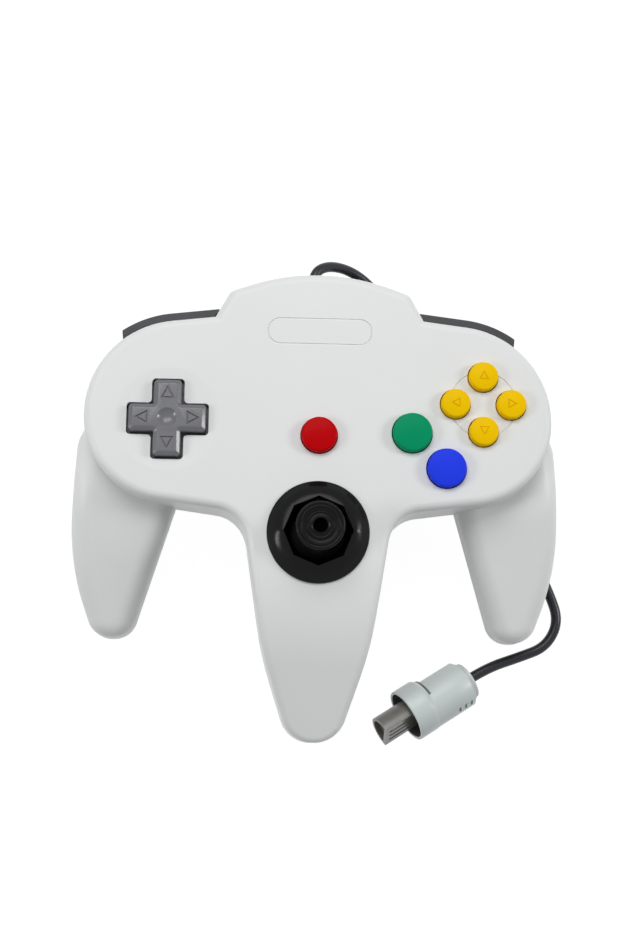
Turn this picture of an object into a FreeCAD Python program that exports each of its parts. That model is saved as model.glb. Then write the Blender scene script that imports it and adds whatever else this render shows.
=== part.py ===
import FreeCAD, Part
import math
import os
import Sketcher

# A three-pronged wired gamepad lying face up on a table.
# +X is the holder's right, +Y points away from the holder, +Z is up, and z = 0 is the table.
# The plan origin is the middle of the casing's box.

doc = FreeCAD.newDocument("gamepad")
Vector = FreeCAD.Vector

# Driving dimensions in millimetres, degrees or counts.
SIZES = [
    ("face_high", 46.0, "height of the flat face"),
    ("wing_under", 23.0, "height of the wings' underside"),
    ("wall", 2.0, "wall of the casing"),
    ("gap", 0.35, "clearance round moving pieces"),
    ("seam_high", 34.0, "height of the parting line on the wings"),
    ("wing_half", 75.2, "half width of the wings"),
    ("wing_crest", 64.4, "where the lines of the wings' rear edges meet"),
    ("wing_rear", 55.3, "rear corner of the wings"),
    ("wing_rear_round", 31.0, "plan radius of the wings' rear corner"),
    ("wing_front", 3.1, "front corner of the wings"),
    ("wing_front_round", 27.4, "plan radius of the wings' front corner"),
    ("fork_room", 7.9, "how much wider the fork is than the stick's housing"),
    ("fork_front", 3.6, "how far the fork lies in front of the middle"),
    ("fork_round", 11.5, "plan radius of the fork"),
    ("waist_room", 1.1, "how much wider the handle's waist is than the stick's housing"),
    ("handle_waist", 46.5, "how far forward that waist lies"),
    ("tip_half", 7.8, "half width of the middle handle's tip"),
    ("tip_front", 75.2, "how far forward the middle tip lies"),
    ("tip_round", 10.3, "plan radius of the middle tip"),
    ("block_half", 29.2, "half width of the rear block"),
    ("block_rear", 75.2, "rear of the block"),
    ("block_slope", 19.5, "angle of the block's bowed rear at its corners, degrees"),
    ("block_bow", 68.0, "plan radius of the block's bowed rear"),
    ("block_splay", 10.4, "how much wider the block is at its foot"),
    ("edge_round", 2.6, "rounding of the face's edge"),
    ("under_round", 8.0, "rounding of the underside's edge"),
    ("handle_drop", 20.0, "height of the top line at the far front"),
    ("handle_bend", 36.0, "where the middle handle's top starts to fall"),
    ("prong_top", 38.0, "height of the side handles' root"),
    ("prong_tip", 41.8, "how far forward the side tips lie"),
    ("prong_root", 77.9, "outer side of the side handles at their root"),
    ("prong_out", 80.3, "outermost reach of the side handles' corner"),
    ("prong_in", 37.5, "inner root of the side handles"),
    ("prong_tip_in", 60.6, "inner corner of the side tips"),
    ("prong_tip_out", 72.4, "outer corner of the side tips"),
    ("prong_round", 6.5, "rounding of the side handles"),
    ("slot_half", 24.5, "half width of the accessory housing"),
    ("slot_front", 20.0, "front of the accessory housing"),
    ("slot_rear", 69.0, "rear of the accessory housing"),
    ("slot_wall", 2.2, "wall of the accessory housing"),
    ("badge_half", 17.0, "half length of the bare badge pad"),
    ("badge_rear", 60.0, "rear edge of the badge pad"),
    ("badge_front", 51.0, "front edge of the badge pad"),
    ("line_wide", 0.6, "width of engraved lines"),
    ("line_deep", 0.25, "depth of engraved lines"),
    ("board_top", 36.6, "height of the main board's upper side"),
    ("board_thick", 1.6, "thickness of every circuit board"),
    ("mat_thick", 1.0, "thickness of the rubber mats"),
    ("button_foot", 40.2, "height of the buttons' feet, where the domes touch"),
    ("button_proud", 3.0, "how far the round buttons stand out of the face"),
    ("flange_thick", 1.2, "thickness of the buttons' flanges"),
    ("flange_wide", 1.3, "how far the flanges reach past the buttons"),
    ("red_round", 5.7, "radius of the red button"),
    ("red_rear", 21.3, "place of the red button"),
    ("green_round", 6.3, "radius of the green button"),
    ("green_side", 29.8, "place of the green button"),
    ("green_rear", 22.6, "place of the green button"),
    ("blue_round", 6.25, "radius of the blue button"),
    ("blue_side", 40.8, "place of the blue button"),
    ("blue_rear", 11.3, "place of the blue button"),
    ("yellow_round", 4.7, "radius of the yellow buttons"),
    ("yellow_ring", 9.0, "radius of the circle that the yellow buttons lie on"),
    ("yellow_side", 52.7, "middle of the yellow buttons"),
    ("yellow_rear", 32.4, "middle of the yellow buttons"),
    ("yellow_line", 11.0, "radius of the engraved circle through the yellow buttons"),
    ("cross_side", 48.4, "middle of the direction cross, to the left"),
    ("cross_rear", 25.8, "middle of the direction cross"),
    ("cross_half", 12.25, "half span of the direction cross"),
    ("cross_arm", 4.35, "half width of its arms"),
    ("cross_gap", 0.85, "gap round the cross in the face"),
    ("cross_proud", 2.5, "how far the cross stands out of the face"),
    ("cross_foot", 41.2, "height of the cross's underside"),
    ("cross_flange", 13.6, "radius of the cross's flange"),
    ("cross_dimple", 3.1, "radius of the hollow in the middle of the cross"),
    ("dish_round", 16.7, "radius of the shallow dish round the cross"),
    ("dish_deep", 0.6, "depth of that dish"),
    ("pivot_ball", 3.0, "radius of the ball under the cross"),
    ("stick_front", 9.8, "how far in front of the middle the stick stands"),
    ("stick_pivot", 34.0, "height of the stick's pivot"),
    ("stick_top", 62.5, "height of the stick's top"),
    ("cap_round", 7.6, "radius of the stick's cap"),
    ("cap_thick", 3.4, "thickness of the stick's cap"),
    ("neck_round", 3.4, "radius of the stick's neck"),
    ("shaft_round", 2.0, "radius of the stick's lower shaft"),
    ("skirt_round", 13.5, "outer radius of the domed skirt"),
    ("skirt_thick", 1.2, "thickness of the skirt"),
    ("collar_round", 16.3, "outer radius of the collar"),
    ("collar_high", 50.0, "height of the collar's octagonal edge"),
    ("gate_round", 11.4, "corner radius of the octagonal gate"),
    ("housing_half", 16.0, "half width of the stick's housing"),
    ("housing_low", 26.0, "underside of the stick's housing"),
    ("housing_top", 42.0, "upper side of the stick's housing"),
    ("housing_wall", 1.5, "wall of the stick's housing"),
    ("bail_pin", 1.3, "radius of the bails' pins"),
    ("upper_bail_round", 10.4, "outer radius of the upper bail"),
    ("lower_bail_round", 7.4, "outer radius of the lower bail"),
    ("bail_thick", 1.4, "thickness of the bails"),
    ("bail_half", 4.0, "half width of the bails"),
    ("wheel_round", 5.6, "radius of the slotted wheels"),
    ("wheel_thick", 1.0, "thickness of the slotted wheels"),
    ("wheel_slots", 12.0, "slots in each wheel"),
    ("shoulder_proud", 3.5, "how far the shoulder buttons stand out"),
    ("shoulder_deep", 2.6, "how far they reach behind the wing's edge"),
    ("shoulder_low", 28.5, "underside of the shoulder buttons"),
    ("shoulder_top", 40.8, "upper side of the shoulder buttons"),
    ("shoulder_start", 0.7, "gap between the shoulder buttons and the block's side"),
    ("shoulder_long", 25.1, "reach of the shoulder buttons from their pins"),
    ("shoulder_edge", 0.7, "rounding of the shoulder buttons' outer edges"),
    ("shoulder_pin_side", 39.0, "place of the shoulder pins"),
    ("shoulder_pin_in", 1.6, "how far behind the wings' rear corner the shoulder pins stand"),
    ("trigger_half", 8.6, "half width of the rear trigger"),
    ("trigger_pin_rear", 13.0, "place of the trigger's pin"),
    ("trigger_pin_high", 24.3, "height of the trigger's pin"),
    ("trigger_front", 15.5, "how far forward the trigger reaches"),
    ("trigger_board_low", 20.0, "underside of the trigger's switch board"),
    ("pin_round", 1.1, "radius of the shoulder and trigger pins"),
    ("column_round", 4.0, "radius of the case screws' columns"),
    ("screw_round", 1.3, "radius of the case screws"),
    ("screw_head", 2.6, "radius of the case screws' heads"),
    ("cord_round", 1.75, "radius of the cord"),
    ("cord_high", 29.0, "height at which the cord leaves the casing"),
    ("cord_side", -2.0, "where the cord leaves the casing, sideways"),
    ("coil_side", 53.2, "middle of the put-away coil"),
    ("coil_rear", 34.6, "middle of the put-away coil"),
    ("coil_inner", 8.8, "innermost radius of the coil's centre line"),
    ("coil_pitch", 4.85, "distance between neighbouring turns"),
    ("coil_rise", 4.4, "distance between layers"),
    ("plug_side", 52.8, "where the cord enters the plug"),
    ("plug_front", 53.8, "where the cord enters the plug"),
    ("plug_high", 7.46, "height at which the cord enters the plug"),
    ("plug_turn", 212.0, "heading of the plug, degrees"),
    ("plug_pitch", 11.0, "how far the plug's nose points up, degrees"),
    ("plug_roll", -68.0, "how far the plug is rolled, degrees"),
    ("plug_round", 8.0, "radius of the plug's shroud"),
    ("plug_long", 22.4, "length of the plug's shroud"),
    ("plug_collar", 2.6, "length of the plug's rear collar"),
    ("plug_lip", 9.0, "radius of the lip round the shroud's open front"),
    ("plug_lip_long", 6.6, "length of that lip"),
    ("plug_lip_aside", 0.9, "how far the lip stands to one side"),
    ("plug_bore", 8.0, "radius of the shroud's open front"),
    ("plug_depth", 9.0, "depth of the shroud's open front"),
    ("tongue_round", 5.9, "radius of the tongue's round side"),
    ("tongue_flat", 1.8, "height of the tongue's flat side over the axis"),
    ("tongue_proud", 10.1, "how far the tongue stands out of the shroud"),
]

sheet = doc.addObject("Spreadsheet::Sheet", "sizes")
for row, (alias, number, note) in enumerate(SIZES, start=1):
    sheet.set("A%d" % row, note)
    sheet.set("B%d" % row, str(number))
    sheet.setAlias("B%d" % row, alias)
doc.recompute()


class Size:
    """A length with its number and the spreadsheet expression that gives it."""

    def __init__(self, number, text):
        self.number = number
        self.text = text

    def __float__(self):
        return self.number

    def _join(self, other, sign, number, swapped=False):
        left = self.text
        right = other.text if isinstance(other, Size) else repr(float(other))
        if swapped:
            left, right = right, left
        return Size(number, "(%s %s %s)" % (left, sign, right))

    def __add__(self, other):
        return self._join(other, "+", self.number + float(other))

    def __radd__(self, other):
        return self._join(other, "+", float(other) + self.number, True)

    def __sub__(self, other):
        return self._join(other, "-", self.number - float(other))

    def __rsub__(self, other):
        return self._join(other, "-", float(other) - self.number, True)

    def __mul__(self, other):
        return self._join(other, "*", self.number * float(other))

    def __rmul__(self, other):
        return self._join(other, "*", float(other) * self.number, True)

    def __truediv__(self, other):
        return self._join(other, "/", self.number / float(other))

    def __neg__(self):
        return Size(-self.number, "(0 - %s)" % self.text)


class Sizes:
    """Every cell of the sheet as an attribute."""


s = Sizes()
for alias, number, note in SIZES:
    setattr(s, alias, Size(float(sheet.get(alias)), "sizes." + alias))

pieces = []


def piece(thing, label):
    """Names a finished sub-part and lists it for export."""
    thing.Label = label
    pieces.append(thing)
    return thing


def bind(thing, name, value):
    """Sets a property to a number, or ties it to the sheet."""
    if isinstance(value, Size):
        thing.setExpression(name, value.text)
    else:
        thing.setExpression(name, repr(float(value)))


def place(thing, spot):
    for letter, value in zip("xyz", spot):
        bind(thing, "Placement.Base." + letter, value)


def box(name, corner, lengths):
    """A block from its lowest corner and its three lengths."""
    thing = doc.addObject("Part::Box", name)
    for side, value in zip(("Length", "Width", "Height"), lengths):
        bind(thing, side, value)
    place(thing, corner)
    return thing


def centred_box(name, middle, half, low, high):
    """A block from the middle of its plan, its half widths, and its lower and upper heights."""
    corner = (middle[0] - half[0], middle[1] - half[1], low)
    return box(name, corner, (half[0] * 2, half[1] * 2, high - low))


TURN = {
    "z": FreeCAD.Rotation(),
    "x": FreeCAD.Rotation(Vector(0, 1, 0), 90),
    "y": FreeCAD.Rotation(Vector(1, 0, 0), -90),
}


def rod(name, base, radius, length, axis="z"):
    """A cylinder that starts at base and runs along one axis."""
    thing = doc.addObject("Part::Cylinder", name)
    bind(thing, "Radius", radius)
    bind(thing, "Height", length)
    thing.Placement = FreeCAD.Placement(Vector(), TURN[axis])
    place(thing, base)
    return thing


def ball(name, middle, radius):
    thing = doc.addObject("Part::Sphere", name)
    bind(thing, "Radius", radius)
    place(thing, middle)
    return thing


def cut(name, base, *tools):
    """base without the tools."""
    thing = doc.addObject("Part::Cut", name)
    thing.Base = base
    thing.Tool = tools[0] if len(tools) == 1 else join(name + "_tools", *tools)
    return thing


def join(name, *shapes):
    thing = doc.addObject("Part::MultiFuse", name)
    thing.Shapes = list(shapes)
    return thing


def overlap(name, *shapes):
    thing = doc.addObject("Part::MultiCommon", name)
    thing.Shapes = list(shapes)
    return thing


def group(name, things):
    """Identical separate solids in one node."""
    thing = doc.addObject("Part::Compound", name)
    thing.Links = list(things)
    return thing


def solid(name, shape):
    """A shape made by code, as an object of the document."""
    thing = doc.addObject("Part::Feature", name)
    thing.Shape = shape
    return thing


def plane_of(body, role):
    for feature in body.Origin.OriginFeatures:
        if feature.Role == role:
            return feature
    raise ValueError(role)


def fix_point(sketch, line, values):
    """Holds the start of a line at a place given from the sketch's origin."""
    for kind, axis, value in (("DistanceX", -2, values[0]), ("DistanceY", -1, values[1])):
        if abs(float(value)) < 1e-9:
            sketch.addConstraint(Sketcher.Constraint("PointOnObject", line, 1, axis))
            continue
        rule = Sketcher.Constraint(kind, -1, 1, line, 1, float(value))
        index = sketch.addConstraint(rule)
        bind(sketch, "Constraints[%d]" % index, value)


def draw(body, role, outline, circles=()):
    """A sketch on one of the body's own planes: a closed run of lines, and round holes."""
    sketch = body.newObject("Sketcher::SketchObject", body.Name + "_sketch")
    sketch.AttachmentSupport = (plane_of(body, role), "")
    sketch.MapMode = "FlatFace"
    points = [Vector(float(a), float(b), 0) for a, b in outline]
    for index, point in enumerate(points):
        after = points[(index + 1) % len(points)]
        sketch.addGeometry(Part.LineSegment(point, after), False)
    for index in range(len(points)):
        after = (index + 1) % len(points)
        sketch.addConstraint(Sketcher.Constraint("Coincident", index, 2, after, 1))
    for index, values in enumerate(outline):
        fix_point(sketch, index, values)
    for a, b, radius in circles:
        middle = Vector(float(a), float(b), 0)
        index = sketch.addGeometry(Part.Circle(middle, Vector(0, 0, 1), float(radius)), False)
        rule = sketch.addConstraint(Sketcher.Constraint("Radius", index, float(radius)))
        bind(sketch, "Constraints[%d]" % rule, radius)
        for kind, axis, value in (("DistanceX", -2, a), ("DistanceY", -1, b)):
            if abs(float(value)) < 1e-9:
                sketch.addConstraint(Sketcher.Constraint("PointOnObject", index, 3, axis))
                continue
            rule = sketch.addConstraint(
                Sketcher.Constraint(kind, -1, 1, index, 3, float(value)))
            bind(sketch, "Constraints[%d]" % rule, value)
    return sketch


def turned(name, centre, profile):
    """A body turned about its own upright axis from a half profile of (radius, height)."""
    body = doc.addObject("PartDesign::Body", name)
    sketch = draw(body, "XZ_Plane", profile)
    turn = body.newObject("PartDesign::Revolution", name + "_turn")
    turn.Profile = sketch
    turn.ReferenceAxis = (sketch, ["V_Axis"])
    turn.Angle = 360
    place(body, centre)
    return body


def plate(name, corner, outline, thick, circles=()):
    """A flat body: an outline padded upwards from its corner's height."""
    body = doc.addObject("PartDesign::Body", name)
    sketch = draw(body, "XY_Plane", outline, circles)
    pad = body.newObject("PartDesign::Pad", name + "_pad")
    pad.Profile = sketch
    bind(pad, "Length", thick)
    place(body, corner)
    return body


# Outlines with rounded corners
# Each corner is (a, b, radius), and the run goes anticlockwise.

def set_in(corners, depth):
    """The same outline with every side moved inwards by depth."""
    moved = []
    for index, (a, b, radius) in enumerate(corners):
        before = corners[index - 1]
        after = corners[(index + 1) % len(corners)]
        along = Vector(a - before[0], b - before[1], 0).normalize()
        onward = Vector(after[0] - a, after[1] - b, 0).normalize()
        inward = Vector(-along.y, along.x, 0)
        next_inward = Vector(-onward.y, onward.x, 0)
        step = (inward + next_inward) * (depth / (1 + inward.dot(next_inward)))
        left = along.x * onward.y - along.y * onward.x > 0
        rounding = max(radius - depth, 0.2) if left else radius + depth
        moved.append((a + step.x, b + step.y, rounding))
    return moved


def rounded(corners, lay):
    """A closed wire of lines and arcs, laid into space by the function lay.

    Where the arcs of two corners don't fit on the run between them, both get smaller.
    """
    spots = [Vector(a, b, 0) for a, b, radius in corners]
    runs = [spots[index + 1 - len(spots)] - spot for index, spot in enumerate(spots)]
    cut_backs = [radius * math.tan(runs[index - 1].getAngle(runs[index]) / 2)
                 for index, (a, b, radius) in enumerate(corners)]
    spans = []
    for index, corner in enumerate(spots):
        before = runs[index - 1]
        after = runs[index]
        fit = min(1.0, before.Length / (cut_backs[index - 1] + cut_backs[index]),
                  after.Length / (cut_backs[index] + cut_backs[index + 1 - len(spots)]))
        along = Vector(before).normalize()
        onward = Vector(after).normalize()
        radius = corners[index][2] * fit
        cut_back = cut_backs[index] * fit
        start = corner - along * cut_back
        side = 1 if along.x * onward.y - along.y * onward.x > 0 else -1
        centre = start + Vector(-along.y, along.x, 0) * (side * radius)
        middle = centre + (corner - centre).normalize() * radius
        spans.append((start, middle, corner + onward * cut_back))
    edges = []
    for index, (start, middle, end) in enumerate(spans):
        edges.append(Part.Arc(lay(start), lay(middle), lay(end)).toShape())
        following = spans[(index + 1) % len(spans)][0]
        if (following - end).Length > 1e-6:
            edges.append(Part.LineSegment(lay(end), lay(following)).toShape())
    return Part.Wire(edges)


def in_plan(point):
    return Vector(point.x, point.y, -10)


def in_side(point):
    return Vector(-100, point.x, point.y)


def anticlockwise(corners):
    area = 0.0
    for index, (a, b, radius) in enumerate(corners):
        area += corners[index - 1][0] * b - a * corners[index - 1][1]
    return corners if area > 0 else corners[::-1]


def both_sides(right):
    """A symmetrical outline from the corners of its right half, rear to front."""
    left = [(-a, b, radius) for a, b, radius in right if a > 1e-9]
    return anticlockwise(right + left[::-1])


def is_side(face):
    """Whether a face stands upright everywhere, as a plan outline's sides do."""
    low_u, high_u, low_v, high_v = face.ParameterRange
    for share in (0.3, 0.5):
        spot = face.normalAt(low_u + (high_u - low_u) * share, low_v + (high_v - low_v) * share)
        if abs(spot.z) > 1e-6:
            return False
    return True


def middle_of(edge):
    return edge.valueAt((edge.FirstParameter + edge.LastParameter) / 2)


def same_edges(shape, wanted):
    """The edges of shape whose middles are those of the wanted edges."""
    spots = [middle_of(edge) for edge in wanted]
    return [edge for edge in shape.Edges
            if any((middle_of(edge) - spot).Length < 1e-4 for spot in spots)]


def prism(plan, low, high):
    """A plan outline drawn up between two heights."""
    shape = Part.Face(rounded(plan, in_plan)).extrude(Vector(0, 0, high - low))
    shape.translate(Vector(0, 0, low + 10))
    return shape


def moulded(plan, profile, top_round, low_round, split):
    """Where a plan outline and a side profile meet, with rounded upper and lower edges.

    split(y) is the height that parts the upper edges from the lower ones.
    """
    upright = prism(plan, -10.0, 80.0)
    lying = Part.Face(rounded(profile, in_side)).extrude(Vector(200, 0, 0))
    shape = upright.common(lying).Solids[0]
    faces = [(face, is_side(face)) for face in shape.Faces]
    upper = []
    lower = []
    for edge in shape.Edges:
        owners = [side for face, side in faces if any(edge.isSame(own) for own in face.Edges)]
        if sorted(owners) != [False, True]:
            continue
        spot = middle_of(edge)
        (upper if spot.z > split(spot.y) else lower).append(edge)
    shape = shape.makeFillet(top_round, upper)
    return shape.makeFillet(low_round, same_edges(shape, lower))


# Casing
# The wings, the middle handle and the rear block share one side profile.
# The two side handles hang under the wings and have their own.

face = float(s.face_high)
under = float(s.wing_under)
wall = float(s.wall)
slope = math.radians(float(s.block_slope))
block_peak = float(s.block_rear) + float(s.block_bow) * (1 / math.cos(slope) - 1)
block_corner = block_peak - float(s.block_half) * math.tan(slope)
block_foot = 50.0
far_rear = 90.0
far_front = 90.0

wing_plan = both_sides([
    (0.0, float(s.wing_crest), 30.0),
    (float(s.wing_half), float(s.wing_rear), float(s.wing_rear_round)),
    (float(s.wing_half), float(s.wing_front), float(s.wing_front_round)),
    (float(s.housing_half + s.fork_room), -float(s.fork_front), float(s.fork_round)),
    (float(s.housing_half + s.waist_room), -float(s.handle_waist), 110.0),
    (float(s.tip_half), -float(s.tip_front), float(s.tip_round)),
])
block_plan = both_sides([
    (0.0, block_peak, float(s.block_bow)),
    (float(s.block_half), block_corner, 3.0),
    (float(s.block_half + s.block_splay), block_foot, 3.0),
])
deck_profile = anticlockwise([
    (far_rear, face, 3.0),
    (-float(s.handle_bend), face, 70.0),
    (-far_front, float(s.handle_drop), 3.0),
    (-far_front, 0.0, 3.0),
    (-58.0, 0.0, 80.0),
    (-18.0, 9.0, 30.0),
    (14.0, under, 25.0),
    (far_rear, under, 3.0),
])
prong_plan = anticlockwise([
    (70.0, 36.0, 8.0),
    (50.0, 36.0, 6.0),
    (float(s.prong_in), 23.5, 6.0),
    (float(s.prong_tip_in), -float(s.prong_tip), 7.7),
    (float(s.prong_tip_out), -float(s.prong_tip), 7.8),
    (float(s.prong_out), -18.0, 75.0),
    (float(s.prong_root), 21.0, 12.0),
])
prong_profile = anticlockwise([
    (40.0, float(s.prong_top), 3.0),
    (4.0, float(s.prong_top), 40.0),
    (-60.0, 12.0, 3.0),
    (-60.0, 0.0, 3.0),
    (-36.0, 0.0, 20.0),
    (4.0, 18.5, 30.0),
    (16.0, under + 0.5, 10.0),
    (40.0, under + 0.5, 3.0),
])


def deck_split(y):
    return 34.0 if y > 0 else 34.0 + y * 0.28


def prong_split(y):
    return 31.0 if y > 0 else 31.0 + y * 0.5


def casing(depth):
    """The whole casing with every side moved inwards by depth."""
    top = max(float(s.edge_round) - depth, 1.0)
    low = max(float(s.under_round) - depth, 1.0)
    prong = max(float(s.prong_round) - depth, 1.0)
    profile = set_in(deck_profile, depth)
    deck = moulded(set_in(wing_plan, depth), profile, top, low, deck_split)
    block = moulded(set_in(block_plan, depth), profile, max(3.0 - depth, 0.8), 1.0, deck_split)
    side = moulded(set_in(prong_plan, depth), set_in(prong_profile, depth), prong, prong,
                   prong_split)
    mirrored = side.mirror(Vector(), Vector(1, 0, 0))
    return deck.fuse([block, side, mirrored])


outside = casing(0.0)
hollow = casing(wall)

slot_high = under + wall / 2
slot_wall = float(s.slot_wall)
slot_half = float(s.slot_half)
slot_front = float(s.slot_front)
slot_rear = float(s.slot_rear)
slot_block = Part.makeBox(slot_half * 2, slot_rear - slot_front, slot_high,
                          Vector(-slot_half, slot_front, 0))
slot_block = slot_block.makeFillet(2.0, [
    edge for edge in slot_block.Edges if abs(middle_of(edge).z - slot_high / 2) < 1e-6])
slot_room = Part.makeBox((slot_half - slot_wall) * 2, 40 + slot_rear - slot_front,
                         under - slot_wall * 1.2,
                         Vector(-slot_half + slot_wall, slot_front + slot_wall, slot_wall))

# Everything below the parting line, which follows the handles down.
seam = float(s.seam_high)
seam_bend = (-3.0, seam - 3.0)


def below(points, low_x, high_x):
    wire = Part.makePolygon([Vector(low_x, y, z) for y, z in points + points[:1]])
    return Part.Face(wire).extrude(Vector(high_x - low_x, 0, 0))


seam_rear = [(100.0, -10.0), (100.0, seam), (10.0, seam), seam_bend]
middle_seam = seam_rear + [(-75.0, 14.5), (-100.0, 9.0), (-100.0, -10.0)]
side_seam = seam_rear + [(-45.0, 7.5), (-60.0, 4.0), (-100.0, -10.0)]
seam_split = 32.0
lower = below(middle_seam, -seam_split, seam_split)
lower = lower.fuse([below(side_seam, seam_split, 100.0), below(side_seam, -100.0, -seam_split)])


def seam_at(x, y):
    """Height of the parting line over a point of the plan."""
    points = (middle_seam if abs(x) < seam_split else side_seam)[1:-1]
    for (y1, z1), (y2, z2) in zip(points, points[1:]):
        if y2 <= y <= y1:
            return z2 + (z1 - z2) * (y - y2) / (y1 - y2)
    raise ValueError("outside the casing")


def disc(x, y, low, high, radius):
    return Part.makeCylinder(radius, high - low, Vector(x, y, low))


def block_of(x1, y1, z1, x2, y2, z2):
    return Part.makeBox(x2 - x1, y2 - y1, z2 - z1, Vector(x1, y1, z1))


def pill(half, rear, front, radius, low, high):
    return prism(both_sides([(half, rear, radius), (half, front, radius)]), low, high)


def plus(x, y, arm, reach, radius):
    """A plus-shaped outline with rounded corners, from its middle and its two half widths."""
    corners = []
    for quarter in range(4):
        turn = FreeCAD.Rotation(Vector(0, 0, 1), 90 * quarter)
        for a, b in ((reach, -arm), (reach, arm), (arm, arm)):
            spot = turn.multVec(Vector(a, b, 0))
            corners.append((x + spot.x, y + spot.y, radius))
    return corners


wing_face = Part.Face(rounded(wing_plan, in_plan))


def rear_edge(x):
    """How far to the rear the wings' outline lies at x."""
    ray = Part.LineSegment(Vector(x, 20, -10), Vector(x, far_rear, -10)).toShape()
    return wing_face.common(ray).BoundBox.YMax


# Nine case screws run up through columns of the back shell into the front shell.
case_spots = [(0.0, -62.0)]
prong_middle = float(s.prong_tip_in + s.prong_tip_out) / 2 - 1.0
for side in (-1, 1):
    case_spots += [(side * float(s.wing_half - 8.7), 17.0), (side * 31.5, 50.0),
                   (side * 31.5, 3.0), (side * prong_middle, -24.0)]
grip = 4.0
screw_reach = 6.0
column_round = float(s.column_round)
screw_round = float(s.screw_round)
head_round = float(s.screw_head)
columns = [disc(x, y, -5.0, 60.0, column_round).common(outside) for x, y in case_spots]

stick_y = -float(s.stick_front)
pivot_z = float(s.stick_pivot)
board_top = float(s.board_top)
board_low = board_top - float(s.board_thick)
beside_stick = float(s.housing_half + 6.0)
board_spots = [(-20.0, 40.0), (20.0, 40.0), (-beside_stick, 9.5), (beside_stick, 9.5)]
stick_corner = float(s.housing_half - 1.8)
stick_spots = [(x * stick_corner, stick_y + y * stick_corner) for x in (-1, 1) for y in (-1, 1)]
post_round = 2.3
small_screw = 0.9

button_spots = [
    ("red", 0.0, float(s.red_rear), float(s.red_round)),
    ("green", float(s.green_side), float(s.green_rear), float(s.green_round)),
    ("blue", float(s.blue_side), float(s.blue_rear), float(s.blue_round)),
]
ring = float(s.yellow_ring)
yellow_x = float(s.yellow_side)
yellow_y = float(s.yellow_rear)
for word, right, ahead in (("up", 0, 1), ("left", -1, 0), ("right", 1, 0), ("down", 0, -1)):
    button_spots.append(("yellow_" + word, yellow_x + right * ring, yellow_y + ahead * ring,
                         float(s.yellow_round)))

shoulder_low = float(s.shoulder_low)
shoulder_top = float(s.shoulder_top)
shoulder_pin_rear = s.wing_rear + s.shoulder_pin_in
shoulder_pin = (float(s.shoulder_pin_side), float(shoulder_pin_rear))
shoulder_bores = [disc(side * shoulder_pin[0], shoulder_pin[1], under + wall, face - wall,
                       float(s.pin_round)) for side in (-1, 1)]
shoulder_slack = 0.45


def beside_block(y, distance):
    """Place at y of a line that runs beside the block's right side wall."""
    lean = float(s.block_splay) / (block_corner - block_foot)
    return float(s.block_half) + (block_corner - y) * lean + distance * math.hypot(1, lean)


def shoulder_band(outer, inner, start, long, low, high):
    """A strip that follows the wing's rear edge on the right, from beside the block."""
    strip = prism(set_in(wing_plan, -outer), low, high).cut(
        prism(set_in(wing_plan, inner), low, high))
    keep = Part.Face(Part.makePolygon([
        Vector(beside_block(y, start) if near else far_rear, y, low)
        for near, y in ((True, far_rear), (True, 40.0), (False, 40.0), (False, far_rear),
                        (True, far_rear))]))
    reach = disc(shoulder_pin[0], shoulder_pin[1], low, high, long)
    return strip.common(reach).common(keep.extrude(Vector(0, 0, high - low)))


shoulder_hole = shoulder_band(
    float(s.shoulder_proud) + 3, float(s.shoulder_deep) + 3,
    float(s.shoulder_start) - shoulder_slack, float(s.shoulder_long) + shoulder_slack,
    shoulder_low - shoulder_slack, shoulder_top + shoulder_slack)
shoulder_holes = [shoulder_hole, shoulder_hole.mirror(Vector(), Vector(1, 0, 0))]


def front_shell():
    """Upper half of the casing, with its columns, posts, openings and engraved lines."""
    shape = outside.cut(hollow).cut(lower)
    extra = [column.cut(lower) for column in columns]
    for x, y in board_spots:
        extra.append(disc(x, y, board_top, face - wall / 2, post_round))
    for x, y in stick_spots:
        extra.append(disc(x, y, float(s.housing_top), face - wall / 2, post_round))
    shape = shape.fuse(extra)
    tools = []
    for x, y in case_spots:
        seam_z = seam_at(x, y)
        tools.append(disc(x, y, seam_z - 1.5, seam_z + screw_reach, screw_round))
    for x, y in board_spots:
        tools.append(disc(x, y, board_top - 1, board_top + 5, small_screw))
    for x, y in stick_spots:
        tools.append(disc(x, y, float(s.housing_top) - 1, float(s.housing_top) + 2.6,
                          small_screw))
    for word, x, y, radius in button_spots:
        tools.append(disc(x, y, board_top, face + 5, radius + float(s.gap)))
    arm = float(s.cross_arm) + float(s.cross_gap)
    reach = float(s.cross_half) + float(s.cross_gap)
    cross_x = -float(s.cross_side)
    cross_y = float(s.cross_rear)
    tools.append(prism(plus(cross_x, cross_y, arm, reach, 1.2), board_top, face + 5))
    dish_round = float(s.dish_round)
    dish_deep = float(s.dish_deep)
    dish_ball = (dish_round ** 2 + dish_deep ** 2) / (2 * dish_deep)
    dish = Part.makeSphere(dish_ball, Vector(cross_x, cross_y, face - dish_deep + dish_ball))
    tools.append(dish.common(disc(cross_x, cross_y, face - 1, face + 0.3, dish_round + 1)))
    tools.append(disc(0.0, stick_y, board_low, face + 5, float(s.collar_round)))
    line = float(s.line_wide)
    deep = face - float(s.line_deep)
    badge = (float(s.badge_half), float(s.badge_rear), float(s.badge_front))
    outer = pill(badge[0], badge[1], badge[2], 4.2, deep, face + 1)
    inner = pill(badge[0] - line, badge[1] - line, badge[2] + line, 4.2 - line, deep - 1,
                 face + 2)
    tools.append(outer.cut(inner))
    circle = float(s.yellow_line)
    tools.append(disc(yellow_x, yellow_y, deep, face + 1, circle).cut(
        disc(yellow_x, yellow_y, deep - 1, face + 2, circle - line)))
    tools += shoulder_holes + shoulder_bores
    return shape.cut(tools)


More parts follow.
